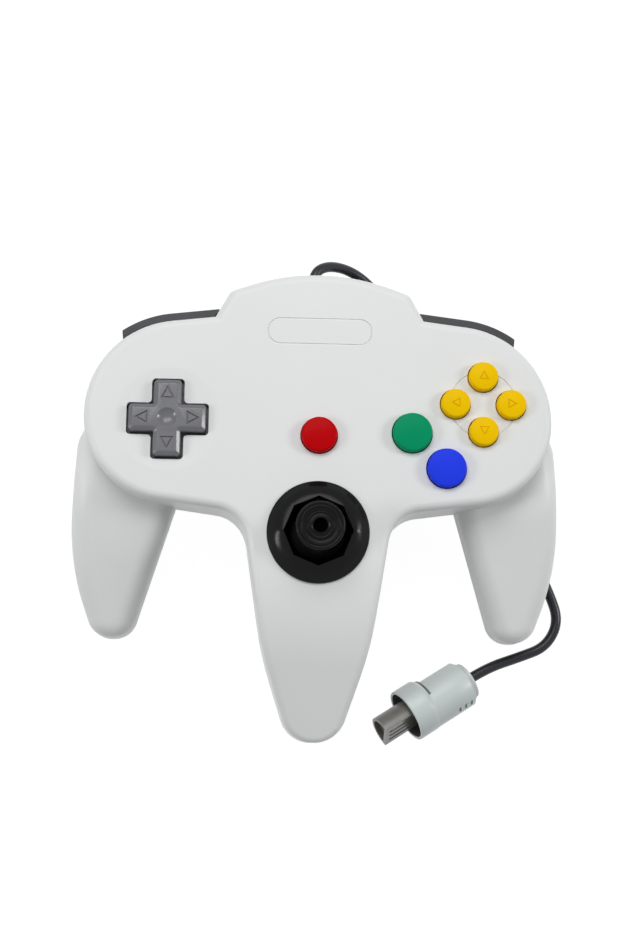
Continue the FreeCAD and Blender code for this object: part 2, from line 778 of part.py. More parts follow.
cord_x = float(s.cord_side)
cord_z = float(s.cord_high)
grommet_neck = 2.9
trigger_half = float(s.trigger_half)
trigger_pin = (float(s.trigger_pin_rear), float(s.trigger_pin_high))
trigger_slack = 0.5
lug_thick = 2.2
lug_start = trigger_half + trigger_slack + 0.2
trigger_front = float(s.trigger_front)
trigger_board_low = float(s.trigger_board_low)
rib_start = 9.6
rib_end = 12.0


def back_shell():
    """Lower half of the casing, with the accessory housing, columns, lugs and ribs."""
    shape = outside.cut(hollow)
    shape = shape.fuse(slot_block.cut(hollow)).common(lower)
    extra = [column.common(lower) for column in columns]
    for side in (-1, 1):
        near, far = sorted((side * lug_start, side * (lug_start + lug_thick)))
        lug = block_of(near, trigger_pin[0] - 2.4, 10.0, far, trigger_pin[0] + 2.4, under + 3.5)
        extra.append(lug.common(outside))
        near, far = sorted((side * rib_start, side * rib_end))
        rib = block_of(near, -19.0, 0.0, far, -6.0, trigger_board_low)
        extra.append(rib.common(outside))
    shape = shape.fuse(extra)
    tools = [slot_room]
    for x, y in case_spots:
        seam_z = seam_at(x, y)
        tools.append(disc(x, y, -5.0, seam_z - grip, head_round + 0.4))
        tools.append(disc(x, y, 0.0, seam_z + 1.5, screw_round + 0.2))
    tools.append(block_of(-trigger_half - trigger_slack, -trigger_front - 1.8, -1.0,
                          trigger_half + trigger_slack, trigger_pin[0] + 2.9, under + wall + 0.5))
    pin_reach = lug_start + lug_thick
    tools.append(Part.makeCylinder(float(s.pin_round), pin_reach * 2,
                                   Vector(-pin_reach, trigger_pin[0], trigger_pin[1]),
                                   Vector(1, 0, 0)))
    tools.append(Part.makeCylinder(grommet_neck, 20.0, Vector(cord_x, 65.0, cord_z),
                                   Vector(0, 1, 0)))
    tools += shoulder_holes + shoulder_bores
    return shape.cut(tools)


piece(solid("front_shell", front_shell()), "front_shell")
piece(solid("back_shell", back_shell()), "back_shell")


def screw(name, x, y, head_low, head_thick, head_round, shank_top, shank_round):
    """A round-headed screw that points up."""
    head = rod(name + "_head", (x, y, head_low), head_round, head_thick)
    shank = rod(name + "_shank", (x, y, head_low), shank_round, shank_top - head_low)
    return join(name, head, shank)


screws = []
for index, (x, y) in enumerate(case_spots):
    low = seam_at(x, y) - grip - 1.8
    screws.append(screw("case_screw_%d" % index, x, y, low, 1.8, s.screw_head,
                        low + 1.8 + grip + screw_reach - 0.2, s.screw_round))
piece(group("case_screws", screws), "case_screws")

# Main board
# It hangs under the front shell on four posts and leaves room for the stick and the columns.
notch = s.housing_half + 1.5
notch_rear = s.housing_half + s.wheel_thick + 1.4 - s.stick_front
board_right = [
    (notch, 3.2), (37.0, 3.2), (s.wing_half - 15.7, 9.0), (s.wing_half - 4.7, 22.0),
    (s.wing_half - 5.7, 33.0), (s.wing_half - 11.2, 41.0), (s.wing_half - 20.0, 45.4),
    (36.0, 47.0), (27.0, 57.0),
]
board_outline = [(notch, notch_rear)] + board_right
board_outline += [(-x, y) for x, y in board_right[::-1]] + [(-notch, notch_rear)]
board_holes = [(x, y, s.column_round + 0.4) for x, y in case_spots
               if 20 < abs(x) and y > 10]
board_holes += [(x, y, small_screw) for x, y in board_spots]
board = plate("main_board_blank", (0, 0, s.board_top - s.board_thick), board_outline,
              s.board_thick, [hole for hole in board_holes if hole[1] < 45 and abs(hole[0]) < 60])
clearances = [rod("board_clear_%d" % index, (x, y, board_low - 5), s.column_round + 0.4, 12.0)
              for index, (x, y) in enumerate(case_spots) if y > 0]
piece(cut("main_board", board, *clearances), "main_board")
screws = [screw("board_screw_%d" % index, x, y, board_low - 1.4, 1.4, 2.0, board_top + 4.8,
                small_screw) for index, (x, y) in enumerate(board_spots)]
piece(group("board_screws", screws), "board_screws")


# Rubber mats with a dome under every button
dome_round = 3.0


def dome(name, x, y, top):
    thing = doc.addObject("Part::Cone", name)
    bind(thing, "Radius1", dome_round)
    bind(thing, "Radius2", dome_round * 0.7)
    bind(thing, "Height", top - s.board_top)
    place(thing, (x, y, s.board_top))
    return thing


cross_x = -s.cross_side
mat = rod("cross_sheet", (cross_x, s.cross_rear, s.board_top), s.cross_half + 2, s.mat_thick)
domes = [dome("cross_dome_%d" % index, cross_x + right * 9.2, s.cross_rear + ahead * 9.2,
              s.cross_foot)
         for index, (right, ahead) in enumerate(((1, 0), (-1, 0), (0, 1), (0, -1)))]
mat_hole = rod("cross_mat_hole", (cross_x, s.cross_rear, s.board_top - 1), s.pivot_ball + 1, 5.0)
piece(cut("direction_mat", join("cross_mat", mat, *domes), mat_hole), "direction_mat")

sheet_right = s.yellow_side + s.yellow_ring + 4.5
sheet_rear = s.yellow_rear + s.yellow_ring + 4.5
sheet_left = s.green_side - 4.5
mat = plate("face_sheet", (0, 0, s.board_top), [
    (sheet_left, s.green_rear - 5), (s.blue_side - 5, s.blue_rear - 4.5),
    (s.blue_side + 6, s.blue_rear - 4.5), (sheet_right, s.yellow_rear - 7),
    (sheet_right, s.yellow_rear + 5), (s.yellow_side + 5, sheet_rear),
    (s.yellow_side - 5, sheet_rear), (sheet_left, s.green_rear + 5)], s.mat_thick)
domes = [dome(word + "_dome", x, y, s.button_foot) for word, x, y, radius in button_spots[1:]]
piece(join("face_mat", mat, *domes), "face_button_mat")

mat = rod("red_sheet", (0, s.red_rear, s.board_top), s.red_round + 1.5, s.mat_thick)
piece(join("red_mat", mat, dome("red_dome", 0, s.red_rear, s.button_foot)), "red_button_mat")


# Round buttons
# Each is a cap with a domed top, a flange that the face holds down, and a foot on its dome.

def round_button(label, x, y, radius):
    inside = s.face_high - s.wall
    flange_top = inside - 0.3 - s.button_foot
    flange_low = flange_top - s.flange_thick
    cap_top = s.face_high + s.button_proud - s.button_foot
    crown = 0.55
    profile = [
        (0, 0), (dome_round * 0.7, 0), (dome_round * 0.7, flange_low),
        (radius + s.flange_wide, flange_low), (radius + s.flange_wide, flange_top),
        (radius, flange_top), (radius, cap_top - 0.75 - crown),
        (radius - 0.22, cap_top - 0.22 - crown), (radius - 0.75, cap_top - crown),
        (radius * 0.5, cap_top - 0.14), (0, cap_top)]
    return turned(label + "_body", (x, y, s.button_foot), profile)


def arrow(name, x, y, heading, half, low, deep):
    """A triangular hollow whose tip points along the heading, in degrees."""
    body = plate(name, (0, 0, 0), [(half, 0), (-half * 0.6, half), (-half * 0.6, -half)], deep)
    body.Placement.Rotation = FreeCAD.Rotation(Vector(0, 0, 1), heading)
    place(body, (x, y, low))
    return body


round_tops = {"red": (s.red_round, 0, s.red_rear),
              "green": (s.green_round, s.green_side, s.green_rear),
              "blue": (s.blue_round, s.blue_side, s.blue_rear)}
for word, (radius, x, y) in round_tops.items():
    piece(round_button(word + "_button", x, y, radius), word + "_button")

mark_deep = 0.25
for word, right, ahead, heading in (("up", 0, 1, 90), ("left", -1, 0, 180),
                                    ("right", 1, 0, 0), ("down", 0, -1, 270)):
    x = s.yellow_side + right * s.yellow_ring
    y = s.yellow_rear + ahead * s.yellow_ring
    button = round_button("yellow_" + word, x, y, s.yellow_round)
    mark = arrow("yellow_mark_" + word, x, y, heading, 1.5,
                 s.face_high + s.button_proud - mark_deep - 0.15, 2.0)
    piece(cut("yellow_cut_" + word, button, mark), "yellow_%s_button" % word)

# Direction cross on its ball
arm = s.cross_arm
reach = s.cross_half
cross_high = s.face_high + s.cross_proud - s.cross_foot
cross = plate("cross_blank", (cross_x, s.cross_rear, s.cross_foot), [
    (arm, arm), (arm, reach), (-arm, reach), (-arm, arm), (-reach, arm), (-reach, -arm),
    (-arm, -arm), (-arm, -reach), (arm, -reach), (arm, -arm), (reach, -arm), (reach, arm)],
    cross_high)
doc.recompute()
top_edges = ["Edge%d" % number for number, edge in enumerate(cross.Shape.Edges, start=1)
             if edge.BoundBox.ZMin > float(s.face_high + s.cross_proud) - 1e-3]
cross_pad = cross.Tip
bevel = cross.newObject("PartDesign::Fillet", "cross_bevel")
bevel.Base = (cross_pad, top_edges)
bevel.Radius = 0.9
cross.Tip = bevel
flange = rod("cross_flange", (cross_x, s.cross_rear, s.cross_foot), s.cross_flange,
             s.flange_thick)
socket = ball("cross_socket", (cross_x, s.cross_rear, s.board_top + s.pivot_ball),
              s.pivot_ball + 0.3)
dimple_ball = 7.0
dimple_sink = math.sqrt(dimple_ball ** 2 - float(s.cross_dimple) ** 2)
dimple = ball("cross_dimple", (cross_x, s.cross_rear,
                               s.face_high + s.cross_proud + dimple_sink), dimple_ball)
marks = [arrow("cross_mark_%d" % heading, cross_x + right * 8.4, s.cross_rear + ahead * 8.4,
               heading, 1.6, s.face_high + s.cross_proud - mark_deep, 2.0)
         for right, ahead, heading in ((1, 0, 0), (0, 1, 90), (-1, 0, 180), (0, -1, 270))]
piece(cut("cross_cut", join("cross_join", cross, flange), socket, dimple, *marks),
      "direction_cross")
piece(ball("cross_ball", (cross_x, s.cross_rear, s.board_top + s.pivot_ball), s.pivot_ball),
      "cross_pivot_ball")

# Stick: cap, shaft with its domed skirt, and the two bails that it moves
stick_at = -s.stick_front
cap_low = s.stick_top - s.cap_thick - s.stick_pivot
cap_high = s.stick_top - s.stick_pivot
cap_edge = s.cap_round
dish = 0.55
piece(turned("stick_cap_body", (0, stick_at, s.stick_pivot), [
    (0, cap_low), (cap_edge * 0.62, cap_low), (cap_edge - 0.5, cap_low + 1.2),
    (cap_edge, cap_low + 1.8), (cap_edge, cap_high - 0.5), (cap_edge - 0.4, cap_high),
    (6.6, cap_high), (6.3, cap_high - dish), (5.8, cap_high - dish), (5.5, cap_high),
    (4.9, cap_high), (4.6, cap_high - dish), (4.1, cap_high - dish), (3.8, cap_high),
    (3.2, cap_high), (2.6, cap_high - dish), (1.3, cap_high - 1.0), (0, cap_high - 1.2)]),
    "stick_cap")

skirt_angle = math.radians(52.0)
skirt_rim = (s.skirt_round * math.sin(skirt_angle), s.skirt_round * math.cos(skirt_angle))
foot_round = 4.6
foot_low = -3.0
skirt_inner = s.skirt_round - s.skirt_thick
skirt_ball = ball("skirt_ball", (0, stick_at, s.stick_pivot), s.skirt_round)
skirt_room = ball("skirt_room", (0, stick_at, s.stick_pivot), skirt_inner)
skirt_keep = rod("skirt_keep", (0, stick_at, s.stick_pivot + skirt_rim[1]), 20.0, 20.0)
skirt = cut("skirt", overlap("skirt_cap", skirt_ball, skirt_keep), skirt_room)
shaft = turned("shaft_body", (0, stick_at, s.stick_pivot), [
    (0, foot_low), (foot_round, foot_low), (foot_round, foot_low + 1.0),
    (s.shaft_round, foot_low + 1.0), (s.shaft_round, skirt_inner - 0.6),
    (s.neck_round + 1.6, skirt_inner - 0.3), (s.neck_round + 1.2, s.skirt_round),
    (s.neck_round, s.skirt_round + 3), (s.neck_round, cap_low - 1.5),
    (cap_edge * 0.62, cap_low), (0, cap_low)])
piece(join("stick_shaft_join", shaft, skirt), "stick_shaft")


def bail(label, round_out, axis, far_end):
    """A half ring with a slot for the shaft, turning on two pins along its axis."""
    middle = (0, stick_at, s.stick_pivot)
    across = "y" if axis == "x" else "x"
    start = [0, stick_at, s.stick_pivot]
    start["xyz".index(across)] = start["xyz".index(across)] - s.bail_half
    outer = rod(label + "_outer", start, round_out, s.bail_half * 2, across)
    inner = rod(label + "_inner", start, round_out - s.bail_thick, s.bail_half * 2, across)
    keep = centred_box(label + "_keep", middle, (20.0, 20.0), s.stick_pivot, s.stick_pivot + 20)
    slot_long = s.shaft_round + round_out * 0.27 + 0.6
    slot_wide = s.shaft_round + s.gap
    half = (slot_long, slot_wide) if axis == "x" else (slot_wide, slot_long)
    slot = centred_box(label + "_slot", middle, half, s.stick_pivot + 2, s.stick_pivot + 20)
    arch = cut(label + "_arch", overlap(label + "_half", outer, keep), inner, slot)
    pins = []
    for side, end in ((-1, s.housing_half - 0.1), (1, far_end)):
        near = round_out - s.bail_thick
        base = [0, stick_at, s.stick_pivot]
        first = near if side > 0 else -end
        base["xyz".index(axis)] = base["xyz".index(axis)] + first
        pins.append(rod("%s_pin_%d" % (label, side + 1), base, s.bail_pin, end - near, axis))
    return piece(join(label + "_join", arch, *pins), label)


wheel_near = s.housing_half + 0.6
bail("upper_bail", s.upper_bail_round, "y", wheel_near + s.wheel_thick)
bail("lower_bail", s.lower_bail_round, "x", wheel_near + s.wheel_thick)


def wheel(label, axis):
    """A thin slotted disc on the end of a bail's pin, turned by it past a light sensor."""
    base = [0, stick_at, s.stick_pivot]
    base["xyz".index(axis)] = base["xyz".index(axis)] + wheel_near
    rim = rod(label + "_disc", base, s.wheel_round, s.wheel_thick, axis)
    tools = [rod(label + "_bore", base, s.bail_pin, s.wheel_thick, axis)]
    count = int(float(s.wheel_slots))
    for index in range(count):
        slot = doc.addObject("Part::Box", "%s_slot_%d" % (label, index))
        slot.Length = 3.0 if axis == "x" else 0.8
        slot.Width = 0.8 if axis == "x" else 3.0
        slot.Height = 1.6
        angle = 360.0 * index / count
        turn_axis = Vector(1, 0, 0) if axis == "x" else Vector(0, 1, 0)
        turn = FreeCAD.Rotation(turn_axis, angle)
        away = float(s.wheel_round) - 2.4
        along = Vector(float(wheel_near) - 1, -0.4, away)
        if axis == "y":
            along = Vector(-0.4, float(wheel_near) - 1, away)
        spot = Vector(0, float(stick_at), float(s.stick_pivot)) + turn.multVec(along)
        slot.Placement = FreeCAD.Placement(spot, turn)
        tools.append(slot)
    return piece(cut(label + "_cut", rim, *tools), label)


wheel("x_encoder_wheel", "x")
wheel("y_encoder_wheel", "y")

# Collar with the octagonal gate
collar_low = s.housing_top - s.stick_pivot
collar_top = s.collar_high - s.stick_pivot
face_level = s.face_high - s.stick_pivot
rim_round = s.gate_round + 0.5
collar = turned("collar_body", (0, stick_at, s.stick_pivot), [
    (0, collar_low), (s.collar_round, collar_low), (s.collar_round, face_level + 0.6),
    (s.collar_round - 0.5, face_level + 1.4), (s.collar_round - 1.6, face_level + 2.4),
    (rim_round + 1.2, collar_top - 0.5), (rim_round, collar_top), (0, collar_top)])
corners = 8
gate_points = []
for index in range(corners):
    angle = math.radians(90 + 360.0 * index / corners)
    gate_points.append((s.gate_round * math.cos(angle), s.gate_round * math.sin(angle)))
gate = plate("gate_opening", (0, stick_at, s.housing_top - 1), gate_points,
             s.collar_high - s.housing_top + 3)
swing = ball("skirt_swing", (0, stick_at, s.stick_pivot), s.skirt_round + 0.5)
piece(cut("collar_cut", collar, gate, swing), "stick_collar")

# Housing of the stick, its sensor board, spring and screws
half = s.housing_half
inner_half = half - s.housing_wall
middle = (0, stick_at)
case = centred_box("housing_case", middle, (half, half), s.housing_low, s.housing_top - 2)
room = centred_box("housing_room", middle, (inner_half, inner_half),
                   s.housing_low + s.housing_wall, s.housing_top + 5)
lid = centred_box("housing_lid", middle, (half + 0.5, half + 0.5), s.housing_top - 2,
                  s.housing_top)
lid_hole = rod("housing_lid_hole", (0, stick_at, s.housing_top - 3), s.skirt_round + 0.7, 5.0)
pin_holes = [
    rod("housing_bore_x", (-half - 2, stick_at, s.stick_pivot), s.bail_pin + 0.3, half * 2 + 4, "x"),
    rod("housing_bore_y", (0, stick_at - half - 2, s.stick_pivot), s.bail_pin + 0.3,
        half * 2 + 4, "y")]
screw_holes = [rod("housing_hole_%d" % index, (x, y, float(s.housing_top) - 3), small_screw, 5.0)
               for index, (x, y) in enumerate(stick_spots)]
corner_notches = [rod("housing_notch_%d" % index, (x, y, s.housing_low - 1), 2.1,
                      s.housing_top - s.housing_low - 1)
                  for index, (x, y) in enumerate(stick_spots)]
housing = join("housing_join", cut("housing_cup", case, room, *corner_notches),
               cut("housing_top", lid, lid_hole))
piece(cut("housing_cut", housing, *(pin_holes + screw_holes)), "stick_housing")
screws = [screw("stick_screw_%d" % index, x, y, float(s.housing_top) - 3.2, 1.2, 1.6,
                float(s.housing_top) + 2.4, small_screw)
          for index, (x, y) in enumerate(stick_spots)]
edge = half - 1
ear = half + 4
piece(plate("sensor_board_plate", (0, stick_at, s.housing_low - s.board_thick), [
    (-edge, -edge), (edge, -edge), (edge, -3.0), (ear, -3.0), (ear, 3.0), (edge, 3.0),
    (edge, edge), (3.0, edge), (3.0, ear), (-3.0, ear), (-3.0, edge), (-edge, edge)],
    s.board_thick), "stick_sensor_board")
sensor_start = wheel_near + s.wheel_thick + 0.6
sensors = [box("sensor_x", (sensor_start, stick_at - 2, s.housing_low), (1.6, 4.0, 7.0)),
           box("sensor_y", (-2.0, stick_at + sensor_start, s.housing_low), (4.0, 1.6, 7.0))]
piece(group("encoder_sensors", sensors), "encoder_sensors")


def spring_shape(radius, wire, low, high, turns, x, y):
    """A coil spring standing upright."""
    rise = high - low - wire
    helix = Part.makeHelix(rise / turns, rise, radius)
    profile = Part.Wire([Part.makeCircle(wire / 2, Vector(radius, 0, 0), Vector(0, 1, 0))])
    shape = Part.Wire(helix.Edges).makePipeShell([profile], True, True)
    shape.translate(Vector(x, y, low + wire / 2))
    return shape


spring_low = float(s.housing_low + s.housing_wall)
spring = spring_shape(3.6, 0.7, spring_low, pivot_z + foot_low, 3, 0.0, stick_y)
piece(solid("stick_spring", spring), "stick_spring")

# Rear trigger, its pin, spring and switch
# The side outline follows the underside of the middle handle and stands 3 mm out of it.
trigger_side = [
    (15.2, 21.6), (6.0, 16.6), (-6.0, 11.2), (-11.5, 7.9), (-trigger_front, 6.4),
    (-trigger_front, 12.2), (-6.0, 16.4), (6.0, 21.6), (10.6, 23.4), (11.2, 26.4),
    (14.8, 26.4), (15.2, 24.0)]
wire = Part.makePolygon([Vector(-trigger_half, y, z) for y, z in trigger_side + trigger_side[:1]])
lever = Part.Face(wire).extrude(Vector(trigger_half * 2, 0, 0))
outer_edges = [edge for edge in lever.Edges
               if abs(edge.BoundBox.XLength) < 1e-6 and middle_of(edge).z < 21
               and middle_of(edge).z < 14.2 + 0.43 * middle_of(edge).y]
lever = lever.makeFillet(1.6, outer_edges)
spring_y = -9.0
seat_high = 16.4
plunger_y = -14.2
lever = lever.fuse([disc(0, spring_y, 12.0, seat_high, 2.9),
                    disc(0, plunger_y, 10.0, 15.4, 1.3)])
lever = lever.cut(Part.makeCylinder(float(s.pin_round) + 0.3, 40.0,
                                    Vector(-20, trigger_pin[0], trigger_pin[1]),
                                    Vector(1, 0, 0)))
piece(solid("rear_trigger", lever), "rear_trigger")
pin_reach = lug_start + lug_thick
piece(rod("trigger_pin_rod", (-pin_reach, s.trigger_pin_rear, s.trigger_pin_high), s.pin_round,
          pin_reach * 2, "x"), "trigger_pin")
spring = spring_shape(2.1, 0.5, seat_high, trigger_board_low, 4, 0.0, spring_y)
piece(solid("trigger_spring", spring), "trigger_spring")
piece(box("trigger_board_box", (-rib_end, -20.0, s.trigger_board_low),
          (rib_end * 2, 14.5, s.board_thick)), "trigger_board")
piece(rod("trigger_dome_rod", (0, plunger_y, s.trigger_board_low - 1.6), 2.0, 1.6),
      "trigger_dome")

# Shoulder buttons, their pins, boards and domes
strip = shoulder_band(float(s.shoulder_proud), float(s.shoulder_deep), float(s.shoulder_start),
                      float(s.shoulder_long), shoulder_low, shoulder_top)
outline = rounded(set_in(wing_plan, -float(s.shoulder_proud)), in_plan)
outer_edges = []
for edge in strip.Edges:
    spot = middle_of(edge)
    beneath = Part.Vertex(Vector(spot.x, spot.y, -10))
    if edge.BoundBox.ZLength < 1e-6 and outline.distToShape(beneath)[0] < 0.05:
        outer_edges.append(edge)
strip = strip.makeFillet(float(s.shoulder_edge), outer_edges)
switch_x = float(s.wing_half - 25.2)
shoulder_board_rear = rear_edge(switch_x) - 9.7
shoulder_board_front = shoulder_board_rear - float(s.board_thick)
dome_reach = 1.3
plunger_front = shoulder_board_rear + dome_reach + 0.8
plunger_rear = rear_edge(switch_x) - 1.2
knuckle = disc(shoulder_pin[0], shoulder_pin[1], shoulder_low, shoulder_top, 2.3)
plunger = block_of(switch_x - 1.5, plunger_front, 32.0, switch_x + 1.5, plunger_rear, 37.0)
strip = strip.fuse([knuckle, plunger])
strip = strip.cut(disc(shoulder_pin[0], shoulder_pin[1], 20.0, 50.0, float(s.pin_round) + 0.3))
piece(solid("right_shoulder", strip), "right_shoulder_button")
piece(solid("left_shoulder", strip.mirror(Vector(), Vector(1, 0, 0))), "left_shoulder_button")
floor = s.wing_under + s.wall
roof = s.face_high - s.wall
pins = [rod("shoulder_pin_%d" % (side + 1),
            (side * s.shoulder_pin_side, shoulder_pin_rear, floor), s.pin_round, roof - floor)
        for side in (-1, 1)]
piece(group("shoulder_pins", pins), "shoulder_pins")
for word, side in (("left", -1), ("right", 1)):
    middle = (side * (switch_x - 0.5), shoulder_board_front + s.board_thick / 2)
    piece(centred_box(word + "_board_box", middle, (5.5, s.board_thick / 2), floor, floor + 15),
          word + "_shoulder_board")
    piece(rod(word + "_dome_rod", (side * switch_x, shoulder_board_front + s.board_thick, 34.5),
              2.4, dome_reach, "y"), word + "_shoulder_dome")

piece(group("stick_screws", screws), "stick_screws")

# Accessory connector in its housing, and the cord's header on the main board
connector_front = s.slot_front + s.slot_wall
connector = box("connector_block", (-18.0, connector_front, 7.0), (36.0, 11.0, 8.0))
connector_slot = box("connector_slot", (-16.0, connector_front + 3, 9.6), (32.0, 10.0, 2.8))
piece(cut("connector_cut", connector, connector_slot), "accessory_connector")
contact_count = 16
contacts = []
for index in range(contact_count):
    x = -15.0 + 30.0 * index / (contact_count - 1)
    contacts.append(box("contact_%d" % index, (x - 0.4, connector_front + 3, 9.6),
                        (0.8, 7.0, 0.5)))
piece(group("accessory_contacts", contacts), "accessory_contacts")
header_rear = 55.0
piece(box("header_block", (-7.0, header_rear - 6, s.board_top - s.board_thick - 3.5),
          (14.0, 6.0, 3.5)), "cord_header")

# Cord
# Straight runs joined by tangent arcs. The lead drops behind the block, the spare length is
# coiled under the right wing, and the tail comes out beside the right handle to the plug.
cord_round = float(s.cord_round)
coil_x = float(s.coil_side)
coil_y = float(s.coil_rear)
half_pitch = float(s.coil_pitch) / 2
rise = float(s.coil_rise)
steps_per_layer = 7
layers = 4
lowest = cord_round + 0.05
coil_out = float(s.coil_inner) + steps_per_layer * half_pitch
wall_rear = float(s.block_rear)
grommet_face = wall_rear + 0.7
lead_route = [
    Vector(cord_x, grommet_face, cord_z), Vector(cord_x, 79.9, cord_z),
    Vector(0.2, 83.2, 27.8), Vector(4.8, 85.3, 24.0), Vector(11.0, 85.3, 18.9),
    Vector(17.2, 82.5, 14.6), Vector(22.8, 77.4, 10.5), Vector(26.9, 71.0, 6.8),
    Vector(28.6, 63.2, 3.6), Vector(coil_x - coil_out, coil_y + 18.9, lowest),
    Vector(coil_x - coil_out, coil_y + 8, lowest)]
coil_exit = coil_x - (float(s.coil_inner) + (steps_per_layer - 1) * half_pitch)
coil_top = lowest + (layers - 1) * rise
plug_spin = FreeCAD.Rotation(float(s.plug_turn), -float(s.plug_pitch), 0.0)
plug_axis = plug_spin.multVec(Vector(1, 0, 0))
plug_entry = Vector(float(s.plug_side), -float(s.plug_front), float(s.plug_high))
tail_route = [
    Vector(coil_exit, coil_y - 5, coil_top), Vector(coil_exit, 16.5, coil_top),
    Vector(35.4, 7.6, 9.4), Vector(45.8, 5.6, 4.6), Vector(57.0, 4.4, 2.0),
    Vector(67.6, -2.6, lowest), Vector(76.6, -12.0, lowest), Vector(82.0, -23.4, lowest),
    Vector(85.2, -33.2, lowest), Vector(80.6, -42.0, lowest + 0.4),
    Vector(71.0, -45.7, 3.6), plug_entry - plug_axis * 8, plug_entry]


def tube_path(points):
    """Edges of straight runs joined by tangent arcs, with the arcs' radii."""
    edges = []
    radii = []
    at = points[0]
    for before, corner, after in zip(points, points[1:], points[2:]):
        along = (corner - before).normalize()
        onward = (after - corner).normalize()
        shorter = min((corner - before).Length, (after - corner).Length)
        back = 0.45 * shorter
        radius = back / math.tan(along.getAngle(onward) / 2)
        start = corner - along * back
        end = corner + onward * back
        bisect = (onward - along).normalize()
        deep = math.sqrt(radius ** 2 + back ** 2) - radius
        edges.append(Part.LineSegment(at, start).toShape())
        edges.append(Part.Arc(start, corner + bisect * deep, end).toShape())
        radii.append(radius)
        at = end
    edges.append(Part.LineSegment(at, points[-1]).toShape())
    return edges, radii


def tube(edges, radius):
    """A round tube along tangent edges."""
    path = Part.Wire(edges)
    start = edges[0].valueAt(edges[0].FirstParameter)
    heading = edges[0].tangentAt(edges[0].FirstParameter)
    ring = Part.Wire([Part.makeCircle(radius, start, heading)])
    shape = path.makePipeShell([ring], True, False)
    expected = math.pi * radius ** 2 * path.Length
    if abs(shape.Volume / expected - 1) > 0.01:
        raise ValueError("tube volume %.1f, expected %.1f" % (shape.Volume, expected))
    return shape, path.Length


def least_gap(edges, diameter):
    """Least gap between stretches of one tube that lie over half a turn apart."""
    spots = []
    passed = 0.0
    for edge in edges:
        count = max(int(edge.Length / 1.5), 2)
        for index in range(count):
            share = index / count
            spot = edge.valueAt(edge.FirstParameter
                                + (edge.LastParameter - edge.FirstParameter) * share)
            spots.append((passed + edge.Length * share, spot))
        passed += edge.Length
    least = 1e9
    for index, (first, a) in enumerate(spots):
        for second, b in spots[index + 1:]:
            if second - first > 20:
                least = min(least, (a - b).Length)
    return least - diameter


def coil_edges():
    """Half turns about the coil's middle: in and out again, a layer higher each time."""
    stops = [(1, coil_out, lowest)]
    side, radius, height = stops[0]
    inwards = True
    for layer in range(layers):
        count = steps_per_layer - (1 if layer == layers - 1 else 0)
        for step in range(count):
            side = -side
            radius += -half_pitch if inwards else half_pitch
            stops.append((side, radius, height))
        if layer < layers - 1:
            side = -side
            height += rise
            stops.append((side, radius, height))
            inwards = not inwards
    edges = []
    for (side, radius, height), (next_side, next_radius, next_height) in zip(stops, stops[1:]):
        start = Vector(coil_x - side * radius, coil_y, height)
        end = Vector(coil_x - next_side * next_radius, coil_y, next_height)
        centre = (start + end) * 0.5
        bulge = Vector(0, -side * (radius + next_radius) / 2, 0)
        bulge.Length = (end - start).Length / 2
        edges.append(Part.Arc(start, centre + bulge, end).toShape())
    lead_in = Part.LineSegment(Vector(coil_x - coil_out, coil_y + 8, lowest),
                               Vector(coil_x - coil_out, coil_y, lowest)).toShape()
    lead_out = Part.LineSegment(Vector(coil_exit, coil_y, coil_top),
                                Vector(coil_exit, coil_y - 5, coil_top)).toShape()
    return [lead_in] + edges + [lead_out]


cord_length = 0.0
for label, route in (("cord_lead", lead_route), ("cord_tail", tail_route)):
    edges, radii = tube_path(route)
    shape, length = tube(edges, cord_round)
    cord_length += length
    print(label, "length %.1f" % length, "radii", ["%.1f" % radius for radius in radii])
    piece(solid(label + "_tube", shape), label)
edges = coil_edges()
shape, length = tube(edges, cord_round)
cord_length += length
print("cord_coil length %.1f" % length, "least gap %.2f" % least_gap(edges, cord_round * 2))
print("cord length %.1f" % cord_length)
piece(solid("cord_coil_tube", shape), "cord_coil")

# Grommet that holds the cord in the rear wall, and the cord's short end inside the casing
grommet_inner = 69.5
inner_route = [
    Vector(cord_x, grommet_inner, cord_z), Vector(cord_x, 64.8, cord_z),
    Vector(cord_x, 59.6, board_low - cord_round - 0.1),
    Vector(cord_x, header_rear, board_low - cord_round - 0.1)]
edges, radii = tube_path(inner_route)
shape, length = tube(edges, cord_round)
print("inner end length %.1f" % length, "radii", ["%.1f" % radius for radius in radii])
piece(solid("inner_end_tube", shape), "cord_inner_end")
grommet = turned("grommet_body", (s.cord_side, 0, s.cord_high), [
    (0, grommet_inner), (3.7, grommet_inner), (3.7, wall_rear - wall - 0.4),
    (grommet_neck, wall_rear - wall - 0.4), (grommet_neck, wall_rear + 0.3),
    (2.4, grommet_face), (0, grommet_face)])
grommet.Placement.Rotation = FreeCAD.Rotation(Vector(1, 0, 0), -90)
place(grommet, (s.cord_side, 0, s.cord_high))
piece(grommet, "cord_grommet")

# Plug: a round shroud with an open front, a half-round tongue and three contacts
# It is built along +X from the point where the cord enters it.
collar_long = s.plug_collar
shroud_end = collar_long + s.plug_long
lip_start = shroud_end - s.plug_lip_long
flare_long = 3.0
shroud = rod("shroud_tube", (collar_long, 0, 0), s.plug_round, s.plug_long, "x")
lip = rod("shroud_lip", (lip_start, 0, -s.plug_lip_aside), s.plug_lip, s.plug_lip_long, "x")
flare = doc.addObject("Part::Cone", "shroud_flare")
bind(flare, "Radius1", s.plug_lip - 2.0)
bind(flare, "Radius2", s.plug_lip)
bind(flare, "Height", flare_long)
flare.Placement = FreeCAD.Placement(Vector(), TURN["x"])
place(flare, (lip_start - flare_long, 0, -s.plug_lip_aside))
rings = [rod("shroud_ring_%d" % index, (start, 0, 0), s.plug_round - less, collar_long - start + 1,
             "x") for index, (start, less) in enumerate(((0, 1.7), (1.3, 1.1)))]
bore = rod("shroud_bore", (shroud_end - s.plug_depth, 0, -s.plug_lip_aside), s.plug_bore,
           s.plug_depth + 5, "x")
